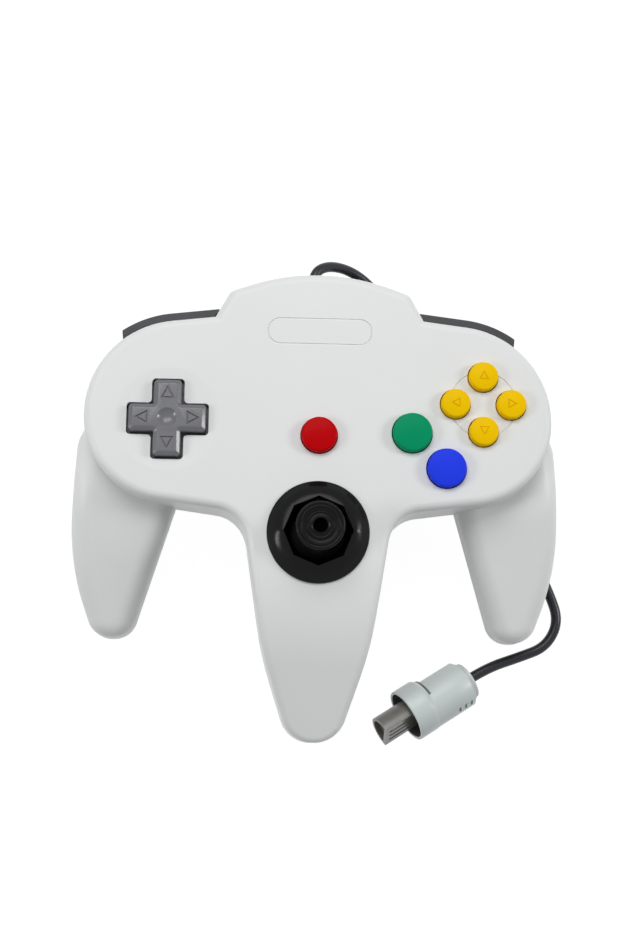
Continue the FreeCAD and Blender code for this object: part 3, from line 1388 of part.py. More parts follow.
notches = [box("shroud_notch_%d" % index, (collar_long + 1.4 + 2.35 * index, -2.6,
                                           s.plug_round - 0.6), (0.9, 2.6, 1.0))
           for index in range(3)]
shroud = cut("shroud_cut", join("shroud_join", shroud, lip, flare, *rings), bore, *notches)
tongue_start = collar_long + s.plug_long - s.plug_depth
tongue = rod("tongue_round", (tongue_start, 0, 0), s.tongue_round,
             s.plug_depth + s.tongue_proud, "x")
flat = box("tongue_cut_off", (tongue_start - 1, -10.0, s.tongue_flat),
           (s.plug_depth + s.tongue_proud + 2, 20.0, 10.0))
grooves = [box("tongue_groove_%d" % index, (tongue_start, -3.4 + 2.8 * index, s.tongue_flat - 0.7),
               (s.plug_depth + s.tongue_proud - 1.4, 1.2, 2.0)) for index in range(3)]
mouth = rod("tongue_mouth", (tongue_start + s.plug_depth + s.tongue_proud - 1.6, 0, 0),
            s.tongue_round - 1.0, 3.0, "x")
mouth_flat = box("tongue_mouth_flat", (tongue_start, -10.0, s.tongue_flat - 1.3),
                 (40.0, 20.0, 10.0))
tongue = cut("tongue_shape", tongue, flat, cut("tongue_mouth_cut", mouth, mouth_flat), *grooves)
contacts = [box("plug_contact_%d" % index, (tongue_start, -3.4 + 2.8 * index, s.tongue_flat - 0.7),
                (s.plug_depth + s.tongue_proud - 2.4, 1.2, 0.4)) for index in range(3)]
contacts = group("plug_contact_group", contacts)
for thing, label in ((shroud, "plug_shroud"), (tongue, "plug_tongue"),
                     (contacts, "plug_contacts")):
    thing.Placement = FreeCAD.Placement(plug_entry, FreeCAD.Rotation(
        float(s.plug_turn), -float(s.plug_pitch), float(s.plug_roll)))
    piece(thing, label)

doc.recompute()

# Checks before anything is written
for thing in doc.Objects:
    if "Invalid" in thing.State or "Error" in thing.State:
        raise ValueError("%s failed: %s" % (thing.Label, thing.State))
for thing in pieces:
    if thing.Shape.isNull() or not thing.Shape.isValid():
        raise ValueError("%s has no valid shape" % thing.Label)

os.makedirs("parts", exist_ok=True)
for thing in pieces:
    thing.Shape.exportStep("parts/%s.step" % thing.Label)
    bounds = thing.Shape.BoundBox
    print("%-24s %2d solids %9.1f mm3  x %.1f..%.1f  y %.1f..%.1f  z %.1f..%.1f" % (
        thing.Label, len(thing.Shape.Solids), thing.Shape.Volume, bounds.XMin, bounds.XMax,
        bounds.YMin, bounds.YMax, bounds.ZMin, bounds.ZMax))
print(len(pieces), "pieces")
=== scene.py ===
import math

import bmesh
import bpy
from mathutils import Euler, Matrix, Vector


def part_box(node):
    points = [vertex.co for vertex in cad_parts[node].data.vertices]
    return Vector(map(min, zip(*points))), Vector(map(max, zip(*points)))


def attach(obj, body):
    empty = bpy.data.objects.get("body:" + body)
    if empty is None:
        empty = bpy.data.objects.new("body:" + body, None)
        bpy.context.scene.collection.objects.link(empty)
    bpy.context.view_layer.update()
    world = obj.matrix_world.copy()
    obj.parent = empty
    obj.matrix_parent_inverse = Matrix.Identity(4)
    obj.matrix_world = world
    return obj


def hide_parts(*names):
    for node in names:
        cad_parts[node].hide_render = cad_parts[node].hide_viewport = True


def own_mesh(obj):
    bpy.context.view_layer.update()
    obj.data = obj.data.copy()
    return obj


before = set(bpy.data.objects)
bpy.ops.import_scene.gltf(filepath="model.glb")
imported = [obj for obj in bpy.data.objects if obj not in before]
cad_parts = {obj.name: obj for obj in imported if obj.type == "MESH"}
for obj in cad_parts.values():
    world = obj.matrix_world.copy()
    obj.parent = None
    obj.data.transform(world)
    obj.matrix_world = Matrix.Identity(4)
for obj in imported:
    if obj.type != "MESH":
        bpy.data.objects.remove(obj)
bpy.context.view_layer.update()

scene = bpy.context.scene


# Camera
# It stands over the front of the left handle, about half a metre up, and looks down on the face
# at the angle of the photograph.
eye = bpy.data.cameras.new("eye")
eye.sensor_width = 36.0
eye.lens = 58.54
eye.clip_end = 20.0
camera = bpy.data.objects.new("camera", eye)
camera.location = (-0.0227, -0.0751, 0.5188)
camera.rotation_euler = [math.radians(turn) for turn in (10.34, -2.55, 0.67)]
scene.collection.objects.link(camera)
scene.camera = camera


# Cord
# A limp round lead, copper strands in a soft black sheath that is extruded over them. It loops
# out of the rear wall, drops behind the block and is coiled under the right wing, and its free
# end comes out beside the right handle to the plug.
MM = 0.001
cord_round = 1.75  # millimetres, like the other sizes of the cord and the plug
floor_gap = 0.05
lowest = cord_round + floor_gap
coil_middle = (53.2, 34.6)
coil_inner = 8.8
half_pitch = 4.85 / 2
coil_rise = 4.4
half_turns_per_layer = 7
coil_layers = 4
coil_out = coil_inner + half_turns_per_layer * half_pitch
coil_exit = coil_middle[0] - (coil_inner + (half_turns_per_layer - 1) * half_pitch)
coil_top = lowest + (coil_layers - 1) * coil_rise
coil_start = coil_middle[0] - coil_out
plug_turn = math.radians(212.0)
plug_pitch = math.radians(11.0)
plug_roll = math.radians(-68.0)
plug_entry = Vector((52.8, -53.8, 7.46))
plug_spin = Euler((plug_roll, -plug_pitch, plug_turn), "XYZ").to_matrix()
plug_axis = plug_spin @ Vector((1, 0, 0))
straight_end = 8
# Out of the rear wall, over to the right and down behind the block.
route = [(-2.0, 75.9, 29.0), (-1.5, 79.7, 29.0), (0.9, 82.7, 27.8), (5.5, 84.7, 24.0),
         (11.5, 84.7, 18.9), (17.5, 82.1, 14.6), (22.9, 77.2, 10.5), (26.9, 71.0, 6.8),
         (28.6, 63.2, 3.6), (coil_start, coil_middle[1] + 18.9, lowest),
         (coil_start, coil_middle[1] + 8, lowest)]
points_per_half = 8
# The coil's half turns, each from one side to the other. They step inwards in one layer and
# outwards in the next one up.
stops = [(1, coil_out, lowest)]
sideways = -half_pitch
for layer in range(coil_layers):
    is_top = layer == coil_layers - 1
    for step in range(half_turns_per_layer - (1 if is_top else 0)):
        side, radius, height = stops[-1]
        stops.append((-side, radius + sideways, height))
    if not is_top:
        side, radius, height = stops[-1]
        stops.append((-side, radius, height + coil_rise))
        sideways = -sideways
for (side, radius, height), (next_side, next_radius, next_height) in zip(stops, stops[1:]):
    start = Vector((coil_middle[0] - side * radius, coil_middle[1], height))
    end = Vector((coil_middle[0] - next_side * next_radius, coil_middle[1], next_height))
    centre = (start + end) / 2
    outward = (start - centre) / math.cos(math.pi / points_per_half / 2)
    onward = Vector((0, -side * outward.length, 0))
    for step in range(points_per_half):
        angle = math.pi * (step + 0.5) / points_per_half
        route.append(centre + outward * math.cos(angle) + onward * math.sin(angle))
# Off the coil's top layer, under the wing, round the right handle and into the plug.
route += [(coil_exit, coil_middle[1] - 5, coil_top), (coil_exit, 16.5, coil_top),
          (35.4, 7.6, 9.4), (45.8, 5.6, 4.6), (57.0, 4.4, 2.0), (67.6, -2.6, lowest),
          (76.6, -12.0, lowest), (82.0, -23.4, lowest), (85.2, -33.2, lowest),
          (80.6, -42.0, lowest + 0.4), (71.0, -45.7, 3.6), plug_entry - plug_axis * straight_end,
          plug_entry]
line = bpy.data.curves.new("cord_line", "CURVE")
line.dimensions = "3D"
line.bevel_depth = cord_round * MM
line.bevel_resolution = 6
line.resolution_u = 8
line.use_fill_caps = True
spline = line.splines.new("NURBS")
spline.points.add(len(route) - 1)
for point, spot in zip(spline.points, route):
    point.co = (spot[0] * MM, spot[1] * MM, spot[2] * MM, 1.0)
spline.order_u = 3
spline.use_endpoint_u = True
cord = bpy.data.objects.new("cord", line)
scene.collection.objects.link(cord)
gloss_swing = 0.06
grain_strength = 0.35


def link_nodes(tree, *pairs):
    """Joins (node, output) to (node, input) pairs."""
    for (source, out), (target, into) in pairs:
        tree.links.new(source.outputs[out], target.inputs[into])


def moulded(name, colour, roughness, grain=900.0, depth=0.00004, shade=0.06, spread=45.0,
            **sockets):
    """A surface with slow colour drift, and a fine grain in its bump and its gloss."""
    material = bpy.data.materials.new(name)
    material.use_nodes = True
    tree = material.node_tree
    shader = tree.nodes["Principled BSDF"]
    for socket, value in sockets.items():
        shader.inputs[socket.replace("_", " ")].default_value = value
    where = tree.nodes.new("ShaderNodeTexCoord")
    drift = tree.nodes.new("ShaderNodeTexNoise")
    drift.inputs["Scale"].default_value = spread
    drift.inputs["Detail"].default_value = 4.0
    tint = tree.nodes.new("ShaderNodeValToRGB")
    tint.color_ramp.elements[0].position = 0.3
    tint.color_ramp.elements[1].position = 0.7
    low = [channel * (1 - shade) for channel in colour]
    high = [min(channel * (1 + shade * 0.6), 1.0) for channel in colour]
    tint.color_ramp.elements[0].color = low + [1.0]
    tint.color_ramp.elements[1].color = high + [1.0]
    fine = tree.nodes.new("ShaderNodeTexNoise")
    fine.inputs["Scale"].default_value = grain
    fine.inputs["Detail"].default_value = 3.0
    gloss = tree.nodes.new("ShaderNodeMapRange")
    gloss.inputs["To Min"].default_value = max(roughness - gloss_swing, 0.02)
    gloss.inputs["To Max"].default_value = min(roughness + gloss_swing, 1.0)
    bump = tree.nodes.new("ShaderNodeBump")
    bump.inputs["Strength"].default_value = grain_strength
    bump.inputs["Distance"].default_value = depth
    link_nodes(tree, ((where, "Object"), (drift, "Vector")), ((where, "Object"), (fine, "Vector")),
               ((drift, "Fac"), (tint, "Fac")), ((tint, "Color"), (shader, "Base Color")),
               ((fine, "Fac"), (gloss, "Value")), ((gloss, "Result"), (shader, "Roughness")),
               ((fine, "Fac"), (bump, "Height")), ((bump, "Normal"), (shader, "Normal")))
    return material


cord_sheath = moulded("cord_sheath", (0.0125, 0.0135, 0.019), 0.26, grain=1500.0, depth=0.00003,
                      shade=0.12, Specular_IOR_Level=0.3)
cord.data.materials.append(cord_sheath)
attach(cord, "casing")
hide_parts("cord_lead", "cord_coil", "cord_tail")


# Floor and backdrop
# A white sheet of paper that the gamepad lies on. It comes out white in the picture and keeps a
# soft shadow under the edges.
paper_half = 3
paper_drop = 0.0002
paper_glow = 1.10
paper_share = 0.88
sky_light = 0.24
floor_mesh = bpy.data.meshes.new("floor")
floor_mesh.from_pydata([(-paper_half, -paper_half, 0), (paper_half, -paper_half, 0),
                        (paper_half, paper_half, 0), (-paper_half, paper_half, 0)],
                       [], [(0, 1, 2, 3)])
floor = bpy.data.objects.new("floor", floor_mesh)
floor.location = (0, 0, -paper_drop)
scene.collection.objects.link(floor)


def seen_rays(tree):
    """One for rays from the camera, from gloss and through clear parts, else nought."""
    rays = tree.nodes.new("ShaderNodeLightPath")
    total = rays.outputs["Is Camera Ray"]
    for kind in ("Is Glossy Ray", "Is Transmission Ray"):
        add = tree.nodes.new("ShaderNodeMath")
        add.operation = "MAXIMUM"
        tree.links.new(total, add.inputs[0])
        tree.links.new(rays.outputs[kind], add.inputs[1])
        total = add.outputs[0]
    return total


paper = bpy.data.materials.new("paper")
paper.use_nodes = True
tree = paper.node_tree
shader = tree.nodes["Principled BSDF"]
shader.inputs["Base Color"].default_value = (0.82, 0.82, 0.82, 1)
shader.inputs["Roughness"].default_value = 0.9
shader.inputs["Specular IOR Level"].default_value = 0.1
glow = tree.nodes.new("ShaderNodeEmission")
glow.inputs["Color"].default_value = (1, 1, 1, 1)
glow.inputs["Strength"].default_value = paper_glow
share = tree.nodes.new("ShaderNodeMath")
share.operation = "MULTIPLY"
share.inputs[1].default_value = paper_share
mix = tree.nodes.new("ShaderNodeMixShader")
tree.links.new(seen_rays(tree), share.inputs[0])
link_nodes(tree, ((share, 0), (mix, 0)), ((shader, 0), (mix, 1)), ((glow, 0), (mix, 2)),
           ((mix, 0), (tree.nodes["Material Output"], "Surface")))
floor_mesh.materials.append(paper)

world = bpy.data.worlds.new("world")
world.use_nodes = True
tree = world.node_tree
sky = tree.nodes["Background"]
sky.inputs["Color"].default_value = (0.96, 0.98, 1.0, 1)
sky.inputs["Strength"].default_value = sky_light
plain = tree.nodes.new("ShaderNodeBackground")
plain.inputs["Color"].default_value = (1, 1, 1, 1)
plain.inputs["Strength"].default_value = 1.0
mix = tree.nodes.new("ShaderNodeMixShader")
tree.links.new(seen_rays(tree), mix.inputs[0])
link_nodes(tree, ((sky, 0), (mix, 1)), ((plain, 0), (mix, 2)),
           ((mix, 0), (tree.nodes["World Output"], "Surface")))
scene.world = world
scene.view_settings.view_transform = "Standard"
scene.view_settings.look = "None"


# Lamps
# Three soft boxes: a wide one above and behind the gamepad, and a smaller one at each side, whose
# reflections lie on the collar, the stick and the cap edges.
lamp_target = Vector((0, 0, 0.03))
side_box = (0.25, 0.25)


def soft_light(name, spot, size, power):
    """A lit rectangle that faces the gamepad, with its two sides in metres."""
    lamp = bpy.data.lights.new(name, "AREA")
    lamp.shape = "RECTANGLE"
    lamp.size = size[0]
    lamp.size_y = size[1]
    lamp.energy = power
    thing = bpy.data.objects.new(name, lamp)
    thing.location = spot
    aim = lamp_target - Vector(spot)
    thing.rotation_euler = aim.to_track_quat("-Z", "Y").to_euler()
    scene.collection.objects.link(thing)


soft_light("top_light", (-0.15, 0.62, 1.08), (1.1, 0.6), 8.35)
soft_light("left_light", (-0.9, -0.1, 0.6), side_box, 2.6)
soft_light("right_light", (0.9, 0.15, 0.55), side_box, 3.3)


# Casing
# Two halves moulded in pale grey plastic with a fine satin surface, closed by nine screws from
# below. The bare oval pad and the thin ring round the yellow buttons are part of the mould.
def dress(material, *nodes):
    """Gives carried-over nodes their material."""
    for node in nodes:
        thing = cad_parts[node]
        thing.data.materials.clear()
        thing.data.materials.append(material)


shell_grey = moulded("shell_grey", (0.755, 0.765, 0.76), 0.42, grain=1800.0, depth=0.00002,
                     shade=0.02, spread=18.0, Specular_IOR_Level=0.35)
dress(shell_grey, "front_shell", "back_shell")


# Screws, pins and springs
# Zinc-plated steel: self-cutting screws that hold the halves and boards, turned pins that the
# shoulder buttons and the trigger swing on, the cross's ball and the stick's wound spring.
steel = moulded("zinc_steel", (0.55, 0.55, 0.56), 0.3, shade=0.1, Metallic=1.0)
dress(steel, "case_screws", "board_screws", "stick_screws", "trigger_pin", "shoulder_pins",
      "cross_pivot_ball", "stick_spring")


# Shoulder buttons
# Two long curved strips of dark plastic in the rear edge of the wings. Each is moulded in one
# piece and swings on an upright pin of its own.
dark_plastic = moulded("dark_plastic", (0.058, 0.058, 0.064), 0.42, grain=1500.0, shade=0.08,
                       Specular_IOR_Level=0.2)
dress(dark_plastic, "left_shoulder_button", "right_shoulder_button")


# Round buttons
# Caps moulded in coloured plastic, with a soft edge, a slightly crowned top and a flange below
# that keeps them behind the face. Their tops are bare.
flange_wide = 0.0013
flange_top = 0.0053
flange_thick = 0.0012
foot_round = 0.0021
edge_round = 0.0008
edge_turn = 80
crown_rise = 0.0004
curve_steps = 8


def skinned(name, loops, ring=False):
    """A closed mesh over loops of points. A single point makes a tip, and a ring has no ends."""
    form = bmesh.new()
    rows = [[form.verts.new(spot) for spot in loop] for loop in loops]
    for low, high in zip(rows, rows[1:] + (rows[:1] if ring else [])):
        count = max(len(low), len(high))
        for index in range(count):
            after = (index + 1) % count
            if len(low) == 1:
                form.faces.new((low[0], high[after], high[index]))
            elif len(high) == 1:
                form.faces.new((low[index], low[after], high[0]))
            else:
                form.faces.new((low[index], low[after], high[after], high[index]))
    for end in (rows[0], rows[-1]):
        if len(end) > 1 and not ring:
            form.faces.new(end)
    bmesh.ops.recalc_face_normals(form, faces=form.faces)
    mesh = bpy.data.meshes.new(name)
    form.to_mesh(mesh)
    form.free()
    return mesh


def circle(count):
    """Evenly spaced points on a circle of radius one."""
    steps = [2 * math.pi * index / count for index in range(count)]
    return [(math.cos(angle), math.sin(angle)) for angle in steps]


def turned(name, profile, middle, segments=96, ring=False):
    """A mesh turned about an upright axis from (radius, height) points."""
    loops = []
    for radius, height in profile:
        if radius < 1e-7:
            loops.append([(middle[0], middle[1], height)])
        else:
            loops.append([(middle[0] + radius * x, middle[1] + radius * y, height)
                          for x, y in circle(segments)])
    return skinned(name, loops, ring)


def arc(centre, radius, start, end, count):
    """Points along an arc, angles in degrees."""
    steps = [math.radians(start + (end - start) * index / count) for index in range(count + 1)]
    return [(centre[0] + radius * math.cos(angle), centre[1] + radius * math.sin(angle))
            for angle in steps]


def middle_of(node):
    """The middle of a node's box."""
    low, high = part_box(node)
    return [(a + b) / 2 for a, b in zip(low, high)]


def fitted(name, mesh, material, body, slot, *nodes, smooth=38):
    """A finished piece that rides on a body and stands for the nodes, smooth up to an angle."""
    thing = bpy.data.objects.new(name, mesh)
    scene.collection.objects.link(thing)
    mesh.materials.append(material)
    for polygon in mesh.polygons:
        polygon.use_smooth = True
    mesh.set_sharp_from_angle(angle=math.radians(smooth))
    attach(thing, body)
    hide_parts(*nodes)
    return thing


def button_profile(node):
    """Half the outline of a cap, from the middle of its foot round to the middle of its top."""
    low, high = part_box(node)
    flange = (high[0] - low[0]) / 2
    radius = flange - flange_wide
    top = high[2]
    profile = [(0, low[2]), (foot_round, low[2]), (foot_round, top - flange_top - flange_thick),
               (flange, top - flange_top - flange_thick), (flange, top - flange_top),
               (radius, top - flange_top)]
    profile += arc((radius - edge_round, top - crown_rise - edge_round), edge_round, 0, edge_turn,
                   curve_steps)
    inner = profile[-1][0]
    rise = top - profile[-1][1]
    for index in range(1, curve_steps + 1):
        share = 1 - index / curve_steps
        profile.append((inner * share, top - rise * share ** 2))
    return profile


for colour_word, colour in (("red", (0.50, 0.002, 0.004)), ("green", (0.003, 0.29, 0.125)),
                            ("blue", (0.020, 0.050, 0.80))):
    gloss = moulded(colour_word + "_plastic", colour, 0.26, grain=700.0, depth=0.00001, shade=0.05,
                    Specular_IOR_Level=0.03)
    node = colour_word + "_button"
    mesh = turned(node + "_turned", button_profile(node), middle_of(node))
    fitted(node + "_cap", mesh, gloss, colour_word, colour_word + "_plastic", node)


# Yellow buttons
# Four smaller caps of the same make in yellow, each with a thin triangle cut into its top that
# points away from the middle of the four.
mark_base = -0.0013
mark_tip = 0.0017
mark_half = 0.0016
mark_line = 0.00032
mark_deep = 0.0003
cutter_over = 0.001


def carved(mesh, *cutters):
    """The mesh with the cutters taken out of it."""
    body = bpy.data.objects.new("blank", mesh)
    scene.collection.objects.link(body)
    tools = []
    for cutter in cutters:
        tool = bpy.data.objects.new("cutter", cutter)
        scene.collection.objects.link(tool)
        tools.append(tool)
        cut = body.modifiers.new("cut", "BOOLEAN")
        cut.operation = "DIFFERENCE"
        cut.solver = "EXACT"
        cut.object = tool
    bpy.context.view_layer.update()
    graph = bpy.context.evaluated_depsgraph_get()
    result = bpy.data.meshes.new_from_object(body.evaluated_get(graph))
    for thing in [body] + tools:
        bpy.data.objects.remove(thing)
    return result


def triangle_line(middle, degrees, base, tip, half, width, low, high):
    """A cutter for a triangle's outline, from its base to its tip in the direction given."""
    heading = math.radians(degrees)
    slope = math.hypot(tip - base, half) / half
    inner_round = (tip - base) / (1 + slope)
    shrink = 1 - width / inner_round
    heart = base + inner_round
    loops = []
    for height, share in ((low, 1), (high, 1), (high, shrink), (low, shrink)):
        loop = []
        for along, aside in ((tip, 0), (base, half), (base, -half)):
            along = heart + (along - heart) * share
            aside = aside * share
            loop.append((middle[0] + along * math.cos(heading) - aside * math.sin(heading),
                         middle[1] + along * math.sin(heading) + aside * math.cos(heading),
                         height))
        loops.append(loop)
    return skinned("triangle_line", loops, ring=True)


yellow_plastic = moulded("yellow_plastic", (0.90, 0.56, 0.001), 0.3, grain=700.0, depth=0.00001,
                         shade=0.04, Specular_IOR_Level=0.03)
for word, degrees in (("up", 90), ("left", 180), ("right", 0), ("down", 270)):
    node = "yellow_%s_button" % word
    middle = middle_of(node)
    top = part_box(node)[1][2]
    mark = triangle_line(middle, degrees, mark_base, mark_tip, mark_half, mark_line,
                         top - mark_deep, top + cutter_over)
    mesh = carved(turned(node + "_turned", button_profile(node), middle), mark)
    fitted(node + "_cap", mesh, yellow_plastic, "yellow_" + word, "yellow_plastic", node,
           smooth=30)


# Direction cross
# One mid-grey moulding with a sloping border round its top, a round hollow in the middle for
# the thumb and a triangle cut into each arm. Its disc rocks on a steel ball.
cross_arm = 0.00435
cross_reach = 0.01225
cross_corner = 0.0011
cross_nook = 0.0003
corner_steps = 5
arrow_base = 0.0062
arrow_tip = 0.0103
arrow_half = 0.0022
arrow_line = 0.00046
arrow_deep = 0.0005
hollow = 0.0052
hollow_rim = 0.0031
hollow_rise = math.sqrt(hollow ** 2 - hollow_rim ** 2)
socket_round = 0.0033
disc_round = 0.0136
disc_thick = 0.0012
cross_middle = middle_of("direction_cross")
cross_foot, cross_top = [corner[2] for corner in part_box("direction_cross")]
ball_height = middle_of("cross_pivot_ball")[2]
disc_top = cross_foot + disc_thick


def cross_loop(inset, height):
    """The outline of the cross, drawn in by an inset, at a height."""
    arm = cross_arm - inset
    reach = cross_reach - inset
    corner = max(cross_corner - inset, 0.0002)
    nook = cross_nook + inset
    quarter = arc((reach - corner, arm - corner), corner, 0, 90, corner_steps)
    quarter += arc((arm + nook, arm + nook), nook, 270, 180, corner_steps)
    quarter += arc((arm - corner, reach - corner), corner, 0, 90, corner_steps)
    loop = []
    for turn in range(4):
        for x, y in quarter:
            for _ in range(turn):
                x, y = -y, x
            loop.append((cross_middle[0] + x, cross_middle[1] + y, height))
    return loop


def ball_mesh(middle, radius):
    """A ball, to cut a round hollow with."""
    form = bmesh.new()
    bmesh.ops.create_uvsphere(form, u_segments=96, v_segments=64, radius=radius,
                              matrix=Matrix.Translation(middle))
    mesh = bpy.data.meshes.new("ball")
    form.to_mesh(mesh)
    form.free()
    return mesh


def joined(name, *meshes):
    """One mesh that holds all of them."""
    form = bmesh.new()
    for mesh in meshes:
        form.from_mesh(mesh)
    mesh = bpy.data.meshes.new(name)
    form.to_mesh(mesh)
    form.free()
    return mesh


# Inset from the side and height above the top, in millimetres.
border = [(0, (disc_top - cross_top) / MM), (0, -1.15), (0.05, -0.95), (0.16, -0.79),
          (0.3, -0.69), (1.25, -0.05), (1.33, -0.01), (1.42, 0)]
blank = skinned("cross_blank", [cross_loop(inset * MM, cross_top + height * MM)
                                for inset, height in border])
cutters = [ball_mesh((cross_middle[0], cross_middle[1], cross_top + hollow_rise), hollow),
           ball_mesh((cross_middle[0], cross_middle[1], ball_height), socket_round)]
cutters += [triangle_line(cross_middle, degrees, arrow_base, arrow_tip, arrow_half, arrow_line,
                          cross_top - arrow_deep, cross_top + cutter_over)
            for degrees in (0, 90, 180, 270)]
socket = [(math.sqrt(socket_round ** 2 - (height - ball_height) ** 2), height)
          for height in (disc_top, (disc_top + cross_foot) / 2, cross_foot)]
disc = turned("cross_disc", socket + [(disc_round, cross_foot), (disc_round, disc_top)],
              cross_middle, ring=True)
mid_plastic = moulded("mid_grey_plastic", (0.145, 0.145, 0.158), 0.22, grain=1500.0, shade=0.05,
                      Specular_IOR_Level=0.45)
fitted("cross_cap", joined("cross_cap", carved(blank, *cutters), disc), mid_plastic, "cross",
       "mid_grey_plastic", "direction_cross", smooth=24)


# Stick collar
# A black moulded ring, domed towards the stick, with an eight-sided opening whose corners stop
# the stick in its eight directions. Its underside clears the skirt that swings below it.
collar_low, collar_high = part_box("stick_collar")
collar_middle = middle_of("stick_collar")
collar_foot = collar_low[2]
collar_top = collar_high[2]
collar_round = (collar_high[0] - collar_low[0]) / 2
collar_points = 128
gate_round = 0.0111
gate_flat = gate_round * math.cos(math.pi / 8)
gate_edge = 0.00018
collar_span = collar_round - gate_round
dome_inset = 0.0006
dome_rise = 0.0030
dome_bend = math.pi / 2 * 0.86
dome_steps = 12
gate_fade = 1.6
pivot = 0.034
swing_round = 0.0140
swing_gap = 0.0009
swing_top = pivot + math.sqrt(swing_round ** 2 - gate_round ** 2) + swing_gap
black_plastic = moulded("black_plastic", (0.003, 0.003, 0.0033), 0.2, grain=1500.0, depth=0.00003,
                        shade=0.12, Specular_IOR_Level=0.15)


def gate_loop(grow, height, roundness=0.0):
    """A loop that goes from the eight-sided opening, at 0, to a circle, at 1."""
    loop = []
    for index in range(collar_points):
        angle = 2 * math.pi * index / collar_points
        flat = gate_flat / math.cos((angle % (math.pi / 4)) - math.pi / 8)
        radius = (flat + grow) * (1 - roundness) + (gate_round + grow) * roundness
        loop.append((collar_middle[0] + radius * math.cos(angle),
                     collar_middle[1] + radius * math.sin(angle), height))
    return loop


# Up the outside, over its rounded edge, up the dome and down the inside of the opening.
loops = [gate_loop(collar_span, collar_foot, 1)]
for inset, depth in ((0, 0.0036), (0.00012, 0.0033), (0.0004, 0.0031)):
    loops.append(gate_loop(collar_span - inset, collar_top - depth, 1))
for index in range(1, dome_steps + 1):
    share = index / dome_steps
    grow = (collar_span - dome_inset) * (1 - share)
    rise = math.sin(share * dome_bend) / math.sin(dome_bend)
    roundness = min(1, (1 - share) * gate_fade)
    loops.append(gate_loop(grow, collar_top - dome_rise * (1 - rise), roundness))
loops += [gate_loop(-0.00012, collar_top - 0.0001), gate_loop(-gate_edge, collar_top - 0.0003),
          gate_loop(-gate_edge, swing_top), gate_loop(0.0001, collar_foot, 1)]
mesh = skinned("collar_ring", loops, ring=True)
fitted("collar", mesh, black_plastic, "casing", "black_plastic", "stick_collar", smooth=40)


# Thumb stick
# A black moulded post with a domed skirt that closes the opening, and a ridged cap with a deep
# hollow in its middle, pressed on the post. The hollow and the skirt's rim are painted shade
# black, and the post and skirt are a lighter, glossier black than the cap, as painted light.
cap_foot, cap_top = [corner[2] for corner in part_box("stick_cap")]
stick_middle = middle_of("stick_cap")
stick_segments = 128
cap_hollow = 2.12
# Radius and height above the cap's foot, then radius and depth below its top, in mm.
cap_flare = ((0, 0), (4.7, 0), (7.1, 1.2), (7.5, 1.6))
cap_ridges = ((7.6, 1.1), (7.55, 0.8), (7.4, 0.52), (7.15, 0.36), (6.85, 0.3), (6.7, 0.42),
              (6.5, 0.46), (6.35, 0.2), (6.2, 0.08), (5.95, 0.0), (5.75, 0.06), (5.6, 0.36),
              (5.5, 0.4), (4.55, 0.42), (4.45, 0.3), (4.3, 0.14), (4.1, 0.12), (3.95, 0.34),
              (3.85, 0.38), (2.85, 0.36), (2.7, 0.18), (2.45, 0.1), (2.25, 0.24), (2.15, 0.8),
              (2.1, 2.3), (1.7, 2.6), (0.9, 2.6), (0.6, 2.4), (0, 2.3))
cap_profile = [(radius * MM, cap_foot + height * MM) for radius, height in cap_flare]
cap_profile += [(radius * MM, cap_top - depth * MM) for radius, depth in cap_ridges]
stick_black = moulded("stick_black", (0.0045, 0.0045, 0.0048), 0.26, grain=2200.0, depth=0.00003,
                      shade=0.1, Specular_IOR_Level=0.1)
# A flat black without gloss, for painted shade in the cap's hollow and on the skirt's rim under
# the collar.
painted_shade_black = moulded("painted_shade_black", (0.0015, 0.0015, 0.0015), 0.9, Specular_IOR_Level=0.0)
# A lighter, glossier copy of the stick's black for the post and its skirt: painted light on the
# skirt where the cap and the collar shade it.
shaft_painted_light_black = moulded("shaft_painted_light_black", (0.013, 0.013, 0.014), 0.24, grain=1500.0, depth=0.00002,
                      shade=0.12, Specular_IOR_Level=0.4)


def paint_shade_between(mesh, near, far):
    """Gives the faces between two distances from the stick's axis, in mm, the black of painted
    shade.
    """
    mesh.materials.append(painted_shade_black)
    for polygon in mesh.polygons:
        spot = polygon.center
        reach = math.hypot(spot.x - stick_middle[0], spot.y - stick_middle[1])
        if near * MM < reach < far * MM:
            polygon.material_index = 1


mesh = turned("stick_cap_turned", cap_profile, stick_middle, stick_segments)
fitted("stick_top", mesh, stick_black, "stick", "black_plastic", "stick_cap", smooth=50)
# The cap's hollow is painted shade black.
paint_shade_between(mesh, 0, cap_hollow)
skirt_round = 10.5
skirt_rise = 3.0
skirt_rim = 8.35
# Radius and height above the pivot, in mm: foot, inside of the skirt, its rim and its dome,
# and the post.
shaft_profile = [(0, -3.0), (4.6, -3.0), (4.6, -2.0), (2.0, -2.0), (2.0, 11.9), (4.0, 12.4),
                 (6.0, 11.2), (7.9, 9.1), (8.2, 8.4), (8.6, 8.1), (10.3, 7.9), (10.6, 8.1),
                 (10.5, 8.35), (8.8, 8.7), (8.5, 9.1), (8.2, 9.6)]
for degrees in (47, 42, 37, 32, 28):
    angle = math.radians(degrees)
    shaft_profile.append((skirt_round * math.sin(angle),
                          skirt_rise + skirt_round * math.cos(angle)))
shaft_profile += [(4.6, 12.7), (4.4, 13.3), (3.7, 15.0), (3.4, 16.5), (3.4, 23.6), (4.7, 25.1),
                  (0, 25.1)]
mesh = turned("shaft_turned", [(radius * MM, pivot + height * MM)
                               for radius, height in shaft_profile], stick_middle, stick_segments)
fitted("shaft", mesh, shaft_painted_light_black, "stick", "black_plastic", "stick_shaft", smooth=40)
# The skirt's rim, from the dome out under the collar, is painted shade black.
paint_shade_between(mesh, skirt_rim, 12)


# Stick unit
# The moulded box under the stick: two white crossed bails, two slotted wheels and the light
# gates that read them.
white_plastic = moulded("white_plastic", (0.7, 0.7, 0.67), 0.4, shade=0.04)
dress(white_plastic, "upper_bail", "lower_bail", "cord_header")
dress(dark_plastic, "x_encoder_wheel", "y_encoder_wheel", "stick_housing")
dress(black_plastic, "encoder_sensors")


